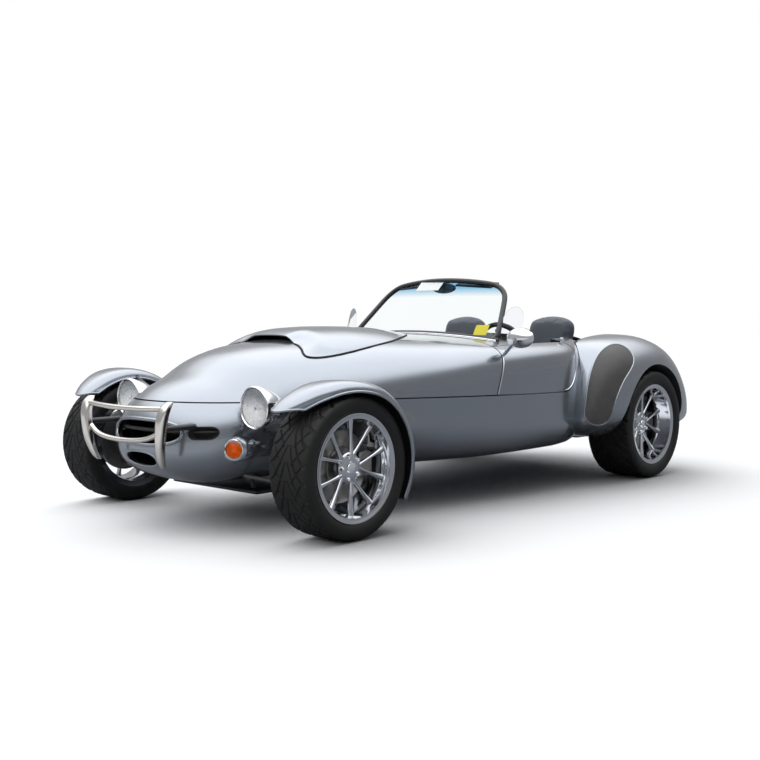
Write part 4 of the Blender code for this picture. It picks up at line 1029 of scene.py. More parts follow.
lower = cut(outer, inner_solid(SKIN), upper_region(-PANEL_GAP / 2))
cockpit = rounded_rectangle((-COCKPIT_HALF_WIDTH, -0.3), (COCKPIT_HALF_WIDTH, COCKPIT_REAR_Y), COCKPIT_CORNER)
boot = rounded_rectangle((-BOOT_HALF_WIDTH, BOOT_FRONT_Y), (BOOT_HALF_WIDTH, BOOT_REAR_Y), 0.06)
MOUTH = oval(0.0, 0.464, 0.256, 0.059, 2.6)
DUCT = oval(0.0, 0.336, 0.118, 0.037, 2.4)
SLOT = rounded_rectangle((0.281, 0.441), (0.376, 0.496), 0.0272)
lower = cut(
    lower,
    plate("cockpit", cockpit, 0.8, "XY", 0.6, False),
    plate("boot", boot, 0.8, "XY", 0.6, False),
    plate("mouth", MOUTH, 0.45, "XZ", -2.1, False),
    plate("duct", DUCT, 0.4, "XZ", -2.1, False),
    plate("slot", SLOT, 0.7, "XZ", -2.1, False),
    plate("slot", [(-x, z) for x, z in SLOT], 0.7, "XZ", -2.1, False),
    rod("tie_rod_hole", (-0.8, -1.267, 0.270), (0.8, -1.267, 0.270), 0.018),
)
panel(lower, "body_shell", "chassis", "lower_body", BODY)

hood = common(common(body_solid("hood"), upper_region(PANEL_GAP / 2)), seam_region(-PANEL_GAP / 2, True))
panel(cut(hood, inner_solid(HOOD_SKIN)), "hood_panel", "hood_body", "hood", BODY)

cowl = common(body_solid("cowl"), seam_region(PANEL_GAP / 2, False))
cowl = common(cowl, box("span", (-DOOR_INNER_X + 0.005, -0.4, 0.74), (DOOR_INNER_X - 0.005, COWL_REAR_Y, 1.2)))
panel(cut(cowl, inner_solid(SKIN)), "cowl_panel", "chassis", (), BODY)

lid_edge = rounded_rectangle((-BOOT_HALF_WIDTH + PANEL_GAP, BOOT_FRONT_Y + PANEL_GAP),
                             (BOOT_HALF_WIDTH - PANEL_GAP, BOOT_REAR_Y - PANEL_GAP), 0.055)
lid = common(body_solid("lid"), plate("edge", lid_edge, 0.8, "XY", 0.6, False))
panel(cut(lid, inner_solid(HOOD_SKIN)), "boot_panel", "boot_body", "boot_lid", BODY)

HINGE_Y = DOOR_SEAM_Y + 0.005
for side, sign in SIDES:
    door = common(common(body_solid("door"), upper_region(PANEL_GAP / 2)), seam_region(PANEL_GAP / 2, False))
    swing = rod("swing", (sign * DOOR_HINGE_X, HINGE_Y, 0.4), (sign * DOOR_HINGE_X, HINGE_Y, 1.3),
                DOOR_REAR_Y - PANEL_GAP / 2 - HINGE_Y, sides=240)
    low, high = sorted((sign * DOOR_INNER_X, sign * 1.0))
    door = common(common(door, swing), box("side", (low, -0.4, 0.4), (high, 0.8, 1.3)))
    panel(door, f"door_panel_{side}", f"door_body_{side}", f"door_{side}", BODY)


# Hood scoop

SCOOP_WIDTH = 0.434
SCOOP_MOUTH = 0.215
# Across the car: x, where the scoop's panel starts and where it ends along y
SCOOP_EDGE = (
    (0.000, -1.052, -0.165), (0.100, -1.056, -0.168), (0.170, -1.064, -0.190), (0.215, -1.078, -0.228),
    (0.250, -1.088, -0.272), (0.300, -1.112, -0.345), (0.345, -1.140, -0.425), (0.375, -1.138, -0.485),
    (0.405, -1.080, -0.560), (0.425, -0.980, -0.650), (0.434, -0.870, -0.760),
)
# Along the car: y, the panel's half width and its rise over the hood at its middle
SCOOP_CROWN = (
    (-1.300, 0.400, 0.048), (-1.110, 0.412, 0.050), (-0.985, 0.430, 0.053), (-0.800, 0.438, 0.053),
    (-0.620, 0.418, 0.050), (-0.500, 0.388, 0.046), (-0.380, 0.332, 0.038), (-0.270, 0.262, 0.022),
    (-0.160, 0.170, 0.004),
)
SCOOP_LIP_SHARE = 0.56
SCOOP_LIP = 0.005
SCOOP_CLIMB_LENGTH = 0.17
SCOOP_LOBE_X = 0.115
SCOOP_LOBE_LENGTH = 0.13


def scoop_rise(x, y):
    """How far the scoop stands over the hood. It arches over its mouth, and beside it rises from its front edge."""
    side = min(abs(x) / value_at(SCOOP_CROWN, y, 1), 1.0)
    rise = value_at(SCOOP_CROWN, y, 2) * (1 - side**3) ** 0.8
    lobe = eased((abs(x) - SCOOP_LOBE_X) / SCOOP_LOBE_X)
    behind = y - value_at(SCOOP_EDGE, abs(x), 1)
    climb = 1 - (1 - min(max(behind / SCOOP_CLIMB_LENGTH, 0.0), 1.0)) ** 2
    return rise * between(SCOOP_LIP_SHARE, 1, climb) * (1 - lobe * (1 - eased(behind / SCOOP_LOBE_LENGTH)))


def scoop_point(u, v, lift=0.0):
    x = SCOOP_WIDTH * u
    front, back = (value_at(SCOOP_EDGE, abs(x), c) for c in (1, 2))
    y = front + v * (back - front)
    return (x, y, body_top(x, y) + max(scoop_rise(x, y), 0.0) + lift)


scoop = grid("scoop", [[scoop_point(u / 48, v / 56, 0.0015) for u in range(-48, 49)] for v in range(57)])
scoop = solidified(dressed(cleaned(scoop), PAINT, DARK), SCOOP_LIP, inner_slot=1)
piece(scoop, "scoop_panel", [PAINT, DARK], "hood_body", "hood_scoop", angle=50)
# A thin matt black sheet laid on the hood under the scoop's arch paints the shade inside its opening.
rows = []
for n in range(13):
    row = []
    for k in range(-14, 15):
        x = k / 14 * (SCOOP_MOUTH + 0.012)
        y = value_at(SCOOP_EDGE, abs(x), 1) - 0.002 + 0.020 * n
        row.append((x, y, body_top(x, y) + 0.0012))
    rows.append(row)
piece(solidified(cleaned(grid("mouth", rows)), 0.0008), "scoop_mouth_shade", DARK, "hood_body")
seam = [scoop_point(u, 0.0) for u in spread(SCOOP_MOUTH / SCOOP_WIDTH, 1, 30)]
seam += [scoop_point(u, 1.0) for u in spread(1, 0, 40)]
seam = [(x, y, body_top(x, y) - 0.0010) for x, y, _ in seam]
for side, sign in SIDES:
    piece(tube("seam", [(sign * x, y, z) for x, y, z in seam], 0.0068), f"scoop_seam_{side}", DARK, "hood_body")


# Rear wings

def pontoon_ring(y, points=44):
    outer_x, top, under = (value_at(PONTOON_ROWS, y, c) for c in (1, 2, 3))
    middle, half_height, reach = (top + under) / 2, (top - under) / 2, outer_x - PONTOON_CENTRE_X
    ring = [(PONTOON_INNER_X, y, under + 0.03), (PONTOON_CENTRE_X - 0.02, y, under)]
    for k in range(points + 1):
        c, s = oval_point(math.radians(-90 + 180 * k / points), PONTOON_POWER)
        ring.append((PONTOON_CENTRE_X + reach * max(c, 0.0), y, middle + half_height * s))
    ring.append((PONTOON_INNER_X, y, middle + 0.20 * half_height))
    return ring


first, last = PONTOON_ROWS[0][0], PONTOON_ROWS[-1][0]
pontoon = loft("pontoon", [pontoon_ring(y) for y in spread(first, last, 60)])
PONTOON = Surface(pontoon)
pontoon = cut(pontoon, body_solid("body", 0.0, 0.05, 80),
              rod("arch", (0.40, REAR_AXLE_Y, REAR_TYRE_RADIUS), (1.3, REAR_AXLE_Y, REAR_TYRE_RADIUS), ARCH_RADIUS,
                  sides=96))
dressed(pontoon, PAINT, DARK)
shade_like(pontoon, PONTOON, limit=0.6)
skin_faces(pontoon, PONTOON, 0.0015, 0.5)
piece_pair(pontoon, "rear_wing", [PAINT, DARK], replaces="rear_fender", smooth=False)


def wing_joint():
    """Where the wing's outer skin enters the body, from its front limb over its top."""
    points = []
    for k in range(56):
        ring = pontoon_ring(first + 0.012 + (last - first - 0.10) * k / 55, 120)[2:-1]
        for high in ring[1:]:
            if high[2] <= 0.5 * (ring[0][2] + ring[-1][2]):
                continue
            under = BODY.met((high[0], high[1], 2.0), (0, 0, -1))
            if under and under[0].z > high[2]:
                points.append(under[0].lerp(Vector(high), 0.5))
                break
    return points


# A dark tube along this joint paints the shade in the recess between the wing and the body.
joint = [p + Vector((0, 0, 0.001)) for p in wing_joint()]
if len(joint) > 8:
    piece_pair(tube("joint", smooth_path([tuple(p) for p in joint[::2]], 3), 0.0045), "wing_joint", DARK)


# Stone guards on the rear wings

# The outline on a plane that faces ahead and outwards, as (across, height)
GUARD_OUTLINE = ((1.049, 0.426), (1.056, 0.500), (1.066, 0.590), (1.088, 0.695), (1.122, 0.772), (1.172, 0.818),
                 (1.225, 0.831), (1.278, 0.815), (1.316, 0.780), (1.331, 0.735), (1.316, 0.688), (1.278, 0.628),
                 (1.246, 0.560), (1.219, 0.482), (1.201, 0.418), (1.172, 0.376), (1.127, 0.361), (1.080, 0.380))
GUARD_ACROSS = Vector((0.857, 0.515, 0))
GUARD_FACING = Vector((0.515, -0.857, 0))


def on_pontoon(across, height, lift):
    start = GUARD_ACROSS * across + GUARD_FACING * 2 + Vector((0, 0, height))
    place, normal = PONTOON.met(start, -GUARD_FACING) or PONTOON.nearest(start - GUARD_FACING * 1.9)
    return place + normal * lift


border = [p.xy for p in smooth_path([(*p, 0) for p in GUARD_OUTLINE], 6, cyclic=True)]
middle = sum(border, Vector((0, 0))) / len(border)
rows = []
for k in range(25):
    share = 1 - k / 24 * 0.999
    rows.append([on_pontoon(*(middle + (p - middle) * share), 0.0025) for p in border])
guard = cleaned(grid("guard", [row + [row[0]] for row in rows]), 1e-4)
piece_pair(solidified(guard, 0.0018), "stone_guard", STONE_GUARD, angle=60)
edge = [on_pontoon(*p, 0.001) for p in border]
piece_pair(tube("guard_edge", edge, 0.0052, cyclic=True), "stone_guard_edge", PAINT)


# Front wings

def wing_point(angle, t, lift=0.0):
    angle += 9 * t * t * max(0.0, 1 - (angle - WING_ROWS[0][0]) / 24) ** 2
    turn = math.radians(angle)
    radius = value_at(WING_ROWS, angle, 3) - WING_DROP * abs(t) ** 2.6 + lift
    return (
        value_at(WING_ROWS, angle, 1) + (value_at(WING_ROWS, angle, 2)) * math.sin(t * math.pi / 2),
        FRONT_AXLE_Y + radius * math.sin(turn),
        FRONT_TYRE_RADIUS + radius * math.cos(turn),
    )


WING_SKIN = 0.010
WING_ANGLES = spread(WING_ROWS[0][0], WING_ROWS[-1][0], 72)
WING_SHARES = spread(-1, 1, 26)
wing = grid("wing", [[wing_point(a, t) for t in WING_SHARES] for a in WING_ANGLES])
wing = solidified(dressed(wing, PAINT, DARK), WING_SKIN, inner_slot=1)
half_skin = -WING_SKIN / 2
border = [wing_point(a, -1, half_skin) for a in WING_ANGLES]
border += [wing_point(WING_ANGLES[-1], t, half_skin) for t in WING_SHARES[1:]]
border += [wing_point(a, 1, half_skin) for a in reversed(WING_ANGLES[:-1])]
border += [wing_point(WING_ANGLES[0], t, half_skin) for t in reversed(WING_SHARES[1:-1])]
wing = merged("wing", wing, dressed(tube("edge", border, 0.0064, cyclic=True), PAINT))
piece_pair(wing, "front_wing", [PAINT, DARK], replaces="front_fender", angle=50)
for name, start, end in (("upper", (0.745, FRONT_AXLE_Y, 0.684), (0.44, FRONT_AXLE_Y, 0.545)),
                         ("lower", (0.80, -1.006, 0.36), (0.50, -0.985, 0.38))):
    foot = rod("foot", start, Vector(start).lerp(Vector(end), 0.08), 0.019, 0.013)
    stay = merged("stay", rod("bar", start, end, 0.011), foot)
    piece_pair(stay, f"wing_stay_{name}", BLACK)


# Windscreen

SCREEN_RISE = math.hypot(SCREEN_TOP_Y - SCREEN_BASE_Y, SCREEN_TOP_Z - SCREEN_BASE_Z)
SCREEN_STRAIGHT = 1 - SCREEN_CORNER / SCREEN_RISE
SCREEN_FRAME_RADIUS = 0.0155


def screen_point(u, v, back=0.0):
    """A point of the screen: u runs across it from -1 to 1, and v up it from 0 to 1."""
    half = between(SCREEN_BASE_HALF, SCREEN_TOP_HALF, v)
    curve = between(SCREEN_BASE_CURVE, SCREEN_TOP_CURVE, v)
    drop = between(SCREEN_BASE_DROP, SCREEN_TOP_DROP, v)
    arch = SCREEN_ARCH * v * v * (1 - u * u)
    return (half * u, between(SCREEN_BASE_Y, SCREEN_TOP_Y, v) + curve * u * u + back,
            between(SCREEN_BASE_Z, SCREEN_TOP_Z, v) - drop * u * u + arch)


def screen_reach(v, inset):
    """How far across the glass goes at v, inside the frame and its round corners."""
    half = between(SCREEN_BASE_HALF, SCREEN_TOP_HALF, v)
    if v <= SCREEN_STRAIGHT:
        return 1 - inset / half
    rise = (v - SCREEN_STRAIGHT) * SCREEN_RISE
    radius = SCREEN_CORNER - inset
    return (half - SCREEN_CORNER + math.sqrt(max(radius**2 - rise**2, 0.0))) / half


path = [screen_point(u, 0) for u in spread(-1, 1, 30)[:-1]]
corner = [(1.0, v) for v in spread(0, SCREEN_STRAIGHT, 8)]
top_half = SCREEN_TOP_HALF + (SCREEN_BASE_HALF - SCREEN_TOP_HALF) * (1 - SCREEN_STRAIGHT) * 0.5
for angle in spread(0, math.pi / 2, 9)[1:]:
    corner.append((1 - SCREEN_CORNER * (1 - math.cos(angle)) / top_half,
                   SCREEN_STRAIGHT + (1 - SCREEN_STRAIGHT) * math.sin(angle)))
path += [screen_point(u, v) for u, v in corner]
path += [screen_point(u, 1.0) for u in spread(corner[-1][0], -corner[-1][0], 26)[1:-1]]
path += [screen_point(-u, v) for u, v in reversed(corner[1:])]
for _ in range(3):
    around = zip(path[-1:] + path[:-1], path, path[1:] + path[:1])
    path = [tuple((Vector(a) + Vector(b) * 2 + Vector(c)) / 4) for a, b, c in around]
piece(tube("screen", path, SCREEN_FRAME_RADIUS, cyclic=True, sides=5), "screen_frame", BLACK,
      replaces="windscreen_frame")

heights = spread(0.045, SCREEN_STRAIGHT, 10)
heights += [SCREEN_STRAIGHT + (0.965 - SCREEN_STRAIGHT) * math.sin(a) for a in spread(0, math.pi / 2, 7)[1:]]
reaches = [(v, screen_reach(v, SCREEN_FRAME_RADIUS - 0.004)) for v in heights]
rows = [[screen_point(reach * u, v) for u in spread(-1, 1, 36)] for v, reach in reaches]
piece(solidified(grid("glass", rows), 0.005, offset=0.0), "screen_glass", GLASS,
      replaces="windscreen_glass", angle=60)


def on_body(x, y, lift=0.0):
    return BODY.laid((x, y, 2.0), (0, 0, -1), lift)


seal = []
for u in spread(-1.03, 1.03, 40):
    x, y, _ = screen_point(u, 0)
    seal.append(on_body(x, y - 0.012, 0.003))
piece(tube("seal", seal, 0.013, sides=4), "screen_seal", BLACK)
trim = [on_body(x, y - 0.026, 0.002) for x, y, _ in (screen_point(u, 0) for u in spread(-1.02, 1.02, 40))]
piece(tube("trim", trim, 0.0035, sides=3), "screen_trim", CHROME)


# Cards and mirror on the screen

TAG_AT = (0.80, 0.16)
TAG_HALF = 0.041
tag = bevelled(box("tag", (-TAG_HALF, 0, -TAG_HALF), (TAG_HALF, 0.002, TAG_HALF)), 0.0008, 1)
moved(tag, Matrix.Translation(screen_point(*TAG_AT, 0.012)) @ Matrix.Rotation(math.radians(14), 4, "Z")
      @ Matrix.Rotation(math.radians(-45), 4, "X"))
piece(tag, "screen_card", YELLOW_CARD)
LABEL_AT = (-0.155, 0.905)
label = bevelled(box("label", (-0.090, 0, -0.038), (0.090, 0.0015, 0.038)), 0.0006, 1)
rise = Vector((0, SCREEN_TOP_Y - SCREEN_BASE_Y, SCREEN_TOP_Z - SCREEN_BASE_Z))
moved(label, Matrix.Translation(screen_point(*LABEL_AT, -0.009)) @ Matrix.Rotation(-math.atan2(rise.y, rise.z), 4, "X"))
piece(label, "screen_label", WHITE_CARD)
inner_mirror = turned("inner", [(0.0, -0.016), (0.040, -0.013), (0.046, 0.0), (0.044, 0.008), (0.0, 0.009)][::-1], 40)
along(inner_mirror, (0, 0, 0), (0, 1, 0))
moved(inner_mirror, Matrix.Translation(screen_point(0, 0.865, 0.055)) @ Matrix.Diagonal((2.0, 1.0, 0.72, 1.0)))
arm = rod("arm", screen_point(0, 0.985, 0.004), screen_point(0, 0.865, 0.045), 0.006)
piece(merged("inner", inner_mirror, arm), "inner_mirror", STEEL)


# Chrome beads along the doors' edges: painted highlights for the light caught on the doors' rounded edges

BEAD = 0.0024
BEAD_INSET = 0.009
bead_zs = spread(shut_line(DOOR_SEAM_Y) + 0.006, 0.775, 16)
front_highlight_bead = [(DOOR_SEAM_Y + DOOR_SEAM_LEAN * (z - SHUT_LINE_Z) + 0.008, z) for z in bead_zs]
corner_y = DOOR_REAR_Y - DOOR_CORNER
corner_z = shut_line(corner_y) + DOOR_CORNER
rear_highlight_bead = [(DOOR_REAR_Y - BEAD_INSET, z) for z in spread(0.755, corner_z + 0.02, 12)]
for angle in spread(0, math.pi / 2, 9):
    radius = DOOR_CORNER - BEAD_INSET
    rear_highlight_bead.append((corner_y + radius * math.cos(angle), corner_z - radius * math.sin(angle)))
# Each bead is a thin chrome line that paints the highlight along a door's edge.
for name, bead in (("door_front_highlight_bead", front_highlight_bead), ("door_rear_highlight_bead", rear_highlight_bead)):
    hits = [BODY.met((2.0, y, z), (-1, 0, 0)) for y, z in bead]
    line = [tuple(hit[0] + hit[1] * 0.0008) for hit in hits if hit and hit[0].x > 0.7]
    piece_pair(tube("bead", line, BEAD, sides=4), name, CHROME, DOORS)


# Sun visors, wind deflectors and a black tray under the nose that paints the deep shade beneath it

for side, sign in SIDES:
    visor = bevelled(box("visor", (-0.135, -0.006, -0.045), (0.135, 0.006, 0.045)), 0.006, 3)
    moved(visor, Matrix.Translation(screen_point(sign * 0.50, 0.955, 0.050))
          @ Matrix.Rotation(math.radians(-70), 4, "X")
          @ Matrix.Rotation(sign * math.radians(4), 4, "Z"))
    piece(visor, f"visor_{side}", DARK_LEATHER)

DEFLECTOR = ((0.10, 0.915), (0.13, 0.955), (0.16, 1.005), (0.19, 1.040), (0.235, 1.055), (0.27, 1.040), (0.285, 1.000),
             (0.28, 0.955), (0.25, 0.920), (0.18, 0.903))
outline = [tuple(p.xy) for p in smooth_path([(y, z, 0) for y, z in DEFLECTOR], 5, cyclic=True)]
clear = bevelled(plate("deflector", outline, 0.004, "YZ", 0.585), 0.0015, 2, 50)
pivot = Vector((0.60, 0.10, 0))
turned_out = Matrix.Translation(pivot) @ Matrix.Rotation(math.radians(-24), 4, "Z") @ Matrix.Translation(-pivot)
piece_pair(moved(clear, turned_out), "wind_deflector", CLEAR_PLATE)

# A satin black tray and its stays under the nose paint the deep shade beneath it.
shade_tray = bevelled(box("shade_tray", (-0.33, -1.44, 0.148), (0.33, -1.00, 0.166)), 0.006, 3)
corners = [(x, y) for x in (-0.24, 0.24) for y in (-1.38, -1.06)]
stays = [rod("stay", (x, y, 0.158), (x * 0.9, y, 0.262), 0.011, sides=16) for x, y in corners]
piece(merged("shade_tray", shade_tray, *stays), "front_shade_tray", BLACK)


# Nose: mouth, slots, duct, radiator

RIM_STEP = 0.012


def on_nose(x, z):
    return BODY.laid((x, -2.6, z), (0, 1, 0))


def outline_rim(name, outline, radius, sides=4):
    points = smooth_outline_points(outline, RIM_STEP)
    return tube(name, [on_nose(x, z) for x, z in points], radius, cyclic=True, sides=sides)


def smooth_outline_points(outline, step):
    """Points at even steps round a closed outline."""
    pts = [Vector(p) for p in outline]
    made = []
    for a, b in zip(pts, pts[1:] + pts[:1]):
        count = max(1, round((b - a).length / step))
        made += [a.lerp(b, k / count) for k in range(count)]
    return made


piece(outline_rim("rim", MOUTH, 0.0095), "mouth_rim", PAINT)
piece(outline_rim("rim", DUCT, 0.0060), "duct_rim", PAINT)
for side, sign in SIDES:
    slot_outline = [(sign * x, z) for x, z in SLOT]
    piece(outline_rim("rim", slot_outline, 0.0035, 3), f"slot_rim_{side}", DARK)
beam = [on_nose(x, 0.472) + Vector((0, 0.040, 0)) for x in spread(-0.375, 0.375, 34)]
piece(tube("beam", beam, 0.011, sides=4), "grille_beam", BLACK)
core = bevelled(box("core", (-0.33, -1.60, 0.28), (0.33, -1.56, 0.58)), 0.006)
fins = [box("fin", (-0.32, -1.606, z), (0.32, -1.598, z + 0.004)) for z in spread(0.30, 0.56, 24)]
piece(merged("radiator", core, *fins), "radiator", BLACK)


# Lamps

FORWARD = (0, -1, 0)
REARWARD = (0, 1, 0)
shell = turned("shell", [(0.0, 0.172), (0.020, 0.168), (0.042, 0.148), (0.060, 0.122), (0.076, 0.090), (0.088, 0.058),
                         (0.0955, 0.026), (0.0975, 0.010), (0.0935, 0.004), (0.0935, 0.012), (0.080, 0.030),
                         (0.050, 0.052), (0.020, 0.060), (0.0, 0.061)], 72)
bezel = turned("bezel", [(0.0925, 0.014), (0.0995, 0.016), (0.1008, 0.006), (0.0985, -0.003), (0.0940, -0.006),
                         (0.0900, -0.002), (0.0905, 0.006)], 72, closed=True)
lamp = merged("lamp", shell, bezel)
along(lamp, LAMP, REARWARD)
piece_pair(lamp, "headlamp_shell", CHROME, replaces="headlamp", angle=30)
bowl = turned("bowl", [(0.092, 0.0110), (0.078, 0.0285), (0.049, 0.0500), (0.019, 0.0580), (0.0, 0.0590), (0.0, 0.0575),
                       (0.019, 0.0565), (0.048, 0.0485), (0.077, 0.0270), (0.0905, 0.0100)], 72)
piece_pair(along(bowl, LAMP, REARWARD), "headlamp_reflector", REFLECTOR, angle=40)
lens = turned("lens", [(0.0, -0.021), (0.030, -0.0185), (0.055, -0.013), (0.075, -0.006), (0.0915, 0.002),
                       (0.0915, 0.005), (0.055, -0.008), (0.0, -0.016)][::-1], 64)
piece_pair(along(lens, LAMP, REARWARD), "headlamp_lens", CLEAR_LENS)
bulb = turned("bulb", [(0.0, 0.004), (0.010, 0.008), (0.014, 0.018), (0.012, 0.040), (0.0, 0.050)][::-1], 24)
piece_pair(along(bulb, LAMP, REARWARD), "headlamp_bulb", CHROME)
arm = tube("arm", smooth_path([LAMP + Vector((-0.02, 0.075, -0.035)), LAMP + Vector((-0.06, 0.08, -0.085)),
                               (0.40, LAMP.y + 0.08, 0.475), (0.34, LAMP.y + 0.08, 0.455)], 6), 0.020, sides=6)
piece_pair(arm, "headlamp_arm", BLACK)

# The way an indicator's back points
OUTWARD = Vector((-0.50, 0.866, 0.03))
pod = turned("pod", [(0.040, -0.004), (0.052, -0.002), (0.058, 0.012), (0.059, 0.040), (0.053, 0.085), (0.041, 0.130),
                     (0.022, 0.175), (0.008, 0.205), (0.0, 0.212)][::-1], 48)
along(pod, (0, 0, 0), REARWARD)
for v in pod.data.vertices:
    if v.co.y < 0.06:
        v.co.y += 0.55 * v.co.x * (1 - max(v.co.y, 0.0) / 0.06)
piece_pair(moved(pod, Matrix.Translation(INDICATOR)), "indicator_pod", PAINT)
ring = turned("ring", [(0.039, 0.006), (0.0485, 0.006), (0.0500, 0.000), (0.0470, -0.005), (0.0400, -0.003)], 48,
              closed=True)
piece_pair(along(ring, INDICATOR, OUTWARD), "indicator_ring", CHROME)
lens = turned("lens", [(0.0, -0.024), (0.018, -0.022), (0.032, -0.014), (0.0425, 0.0), (0.0425, 0.006), (0.030, 0.000),
                       (0.0, -0.012)][::-1], 48)
piece_pair(along(lens, INDICATOR, OUTWARD), "indicator_lens", AMBER_LENS, replaces="indicator")
# The reflector behind the indicator's lens carries the faint painted glow.
back = turned("back", [(0.0, 0.004), (0.040, 0.003), (0.040, 0.010), (0.0, 0.014)][::-1], 40)
piece_pair(along(back, INDICATOR, OUTWARD), "indicator_back", GLOWING_AMBER_BACK)

tail = turned("lens", [(0.0, -0.020), (0.018, -0.018), (0.032, -0.009), (0.0385, 0.004), (0.0385, 0.012),
                       (0.0, 0.014)][::-1], 48)
piece_pair(along(tail, TAIL_LAMP, FORWARD), "tail_lamp_lens", RED_LENS, replaces="tail_lamp")
ring = turned("ring", [(0.0380, 0.014), (0.0440, 0.014), (0.0450, 0.006), (0.0420, 0.000), (0.0380, 0.003)], 48,
              closed=True)
piece_pair(along(ring, TAIL_LAMP, FORWARD), "tail_lamp_ring", CHROME)
tail_pod = turned("pod", [(0.0, 0.012), (0.042, 0.012), (0.044, 0.030), (0.046, 0.120), (0.0, 0.122)][::-1], 40)
piece_pair(along(tail_pod, TAIL_LAMP, FORWARD), "tail_lamp_pod", PAINT)


# Bumpers and exhaust

BLADE_POWER = 5


def blade(sign):
    """One overrider: an upright blade with a squarish section."""
    path = [(0.258, -1.925, 0.318), (0.268, -1.942, 0.345), (0.284, -1.960, 0.410), (0.296, -1.965, 0.480),
            (0.305, -1.962, 0.550), (0.312, -1.948, 0.596), (0.317, -1.926, 0.622)]
    halves = ((0.011, 0.009), (0.016, 0.014), (0.021, 0.018), (0.025, 0.020), (0.028, 0.020), (0.027, 0.018),
              (0.019, 0.010))
    centres = smooth_path(path, 5)
    sizes = smooth_path([(a, b, 0) for a, b in halves], 5)
    rings = []
    for (x, y, z), (half, deep, _) in zip(centres, sizes):
        ring = []
        for k in range(20):
            c, s = oval_point(2 * math.pi * k / 20, BLADE_POWER)
            ring.append((sign * x + half * c, y + deep * s, z))
        rings.append(ring)
    return loft("blade", rings)


def blade_stay(sign):
    return rod("stay", (sign * 0.300, -1.950, 0.500), (sign * 0.300, -1.78, 0.500), 0.014)


upper_bar = tube("upper", smooth_path([(-0.306, -1.950, 0.590), (-0.15, -1.968, 0.585), (0, -1.972, 0.583),
                                       (0.15, -1.968, 0.585), (0.306, -1.950, 0.590)], 6), 0.0125, sides=5)
lower_bar = tube("lower", smooth_path([(-0.294, -1.950, 0.490), (-0.20, -1.966, 0.452), (-0.08, -1.972, 0.436),
                                       (0.08, -1.972, 0.436), (0.20, -1.966, 0.452), (0.294, -1.950, 0.490)], 6),
                 0.0115, sides=5)
front_bar = merged("bumper", blade(1), blade(-1), upper_bar, lower_bar)
piece(front_bar, "front_overriders", NICKEL, replaces="front_bumper", angle=50)
piece(merged("stays", blade_stay(1), blade_stay(-1)), "overrider_stays", BLACK)

rear_bar = tube("bar", smooth_path([(-0.46, 1.920, 0.50), (-0.30, 1.953, 0.50), (0, 1.965, 0.50),
                                    (0.30, 1.953, 0.50), (0.46, 1.920, 0.50)], 8), 0.0195, sides=6)
stays = [rod("stay", (sign * 0.26, 1.950, 0.50), (sign * 0.26, 1.80, 0.50), 0.014) for _, sign in SIDES]
piece(merged("bar", rear_bar, *stays), "rear_bar", NICKEL, replaces="rear_bumper", angle=50)

silencer = subdivided(bevelled(box("silencer", (-0.30, 1.42, 0.175), (0.30, 1.66, 0.29)), 0.045, 3), 1)
pipes = [rod("pipe", (sign * 0.22, 1.62, 0.236), (sign * 0.22, 1.93, 0.253), 0.024) for _, sign in SIDES]
hanger = bevelled(box("hanger", (-0.05, 1.50, 0.25), (0.05, 1.56, 0.38)), 0.004)
piece(merged("silencer", silencer, hanger, *pipes), "silencer", STEEL, replaces="exhaust")
for side, sign in SIDES:
    tip = turned("tip", [(0.026, -0.06), (0.0285, -0.06), (0.0295, 0.030), (0.0285, 0.034), (0.026, 0.030)], 40,
                 closed=True)
    along(tip, (sign * 0.22, 1.940, 0.2535), (0, 1, 0.055))
    piece(tip, f"exhaust_tip_{side}", CHROME)


# Door mirrors and furniture

shell = turned("shell", [(0.0, -0.046), (0.022, -0.044), (0.042, -0.035), (0.056, -0.020), (0.0625, 0.0),
                         (0.0625, 0.022), (0.0585, 0.027), (0.0545, 0.022), (0.0, 0.018)][::-1], 56)
along(shell, (0, 0, 0), REARWARD)
mirror_place = Matrix.Translation(MIRROR) @ Matrix.Diagonal((*MIRROR_STRETCH, 1.0))
moved(shell, mirror_place)
stalk = tube("stalk", smooth_path([MIRROR + Vector((-0.035, -0.004, -0.022)), (0.790, MIRROR.y + 0.002, 0.835),
                                   (0.752, MIRROR.y + 0.010, 0.802), (0.712, MIRROR.y + 0.015, 0.775)], 6), 0.0125,
                                   sides=6)
foot = rod("foot", (0.728, MIRROR.y + 0.012, 0.786), (0.700, MIRROR.y + 0.018, 0.762), 0.026, 0.030)
piece_pair(merged("mirror", shell, stalk, foot), "mirror_shell", CHROME, DOORS, "mirror", angle=40)
silver = turned("silver", [(0.0, 0.0225), (0.0535, 0.0225), (0.0535, 0.0190), (0.0, 0.0190)][::-1], 48)
along(silver, (0, 0, 0), REARWARD)
moved(silver, mirror_place)
piece_pair(silver, "mirror_face", MIRROR_GLASS, DOORS)
knob = turned("knob", [(0.0, 0.030), (0.010, 0.028), (0.013, 0.020), (0.012, 0.010), (0.008, 0.004), (0.008, -0.010),
                       (0.0, -0.012)], 28)
piece_pair(moved(knob, Matrix.Translation(on_body(0.700, DOOR_REAR_Y - 0.030, 0.002))), "door_knob", CHROME, DOORS)
card = [(-0.075, 0.615), (0.50, 0.615), (0.575, 0.70), (0.585, 0.775), (-0.02, 0.765)]
card = plate("card", [tuple(p.xy) for p in smooth_path([(y, z, 0) for y, z in card], 5, cyclic=True)], 0.008, "YZ",
             DOOR_INNER_X - 0.004)
card = bevelled(card, 0.003, 2, 50)
pull = tube("pull", smooth_path([(0.680, 0.06, 0.705), (0.662, 0.10, 0.712), (0.660, 0.20, 0.712), (0.662, 0.30, 0.712),
                                 (0.680, 0.34, 0.705)], 5), 0.010, sides=5)
piece_pair(merged("card", card, pull), "door_card", LEATHER, DOORS)


# Wheels and tyres, about Z with +Z outboard

WHEEL_STEPS = 96
HUB_RADIUS = 0.072
DISC_THICKNESS = 0.026
V_HALF_TURN = math.radians(18)
ROOT_HALF_TURN = math.radians(5.5)


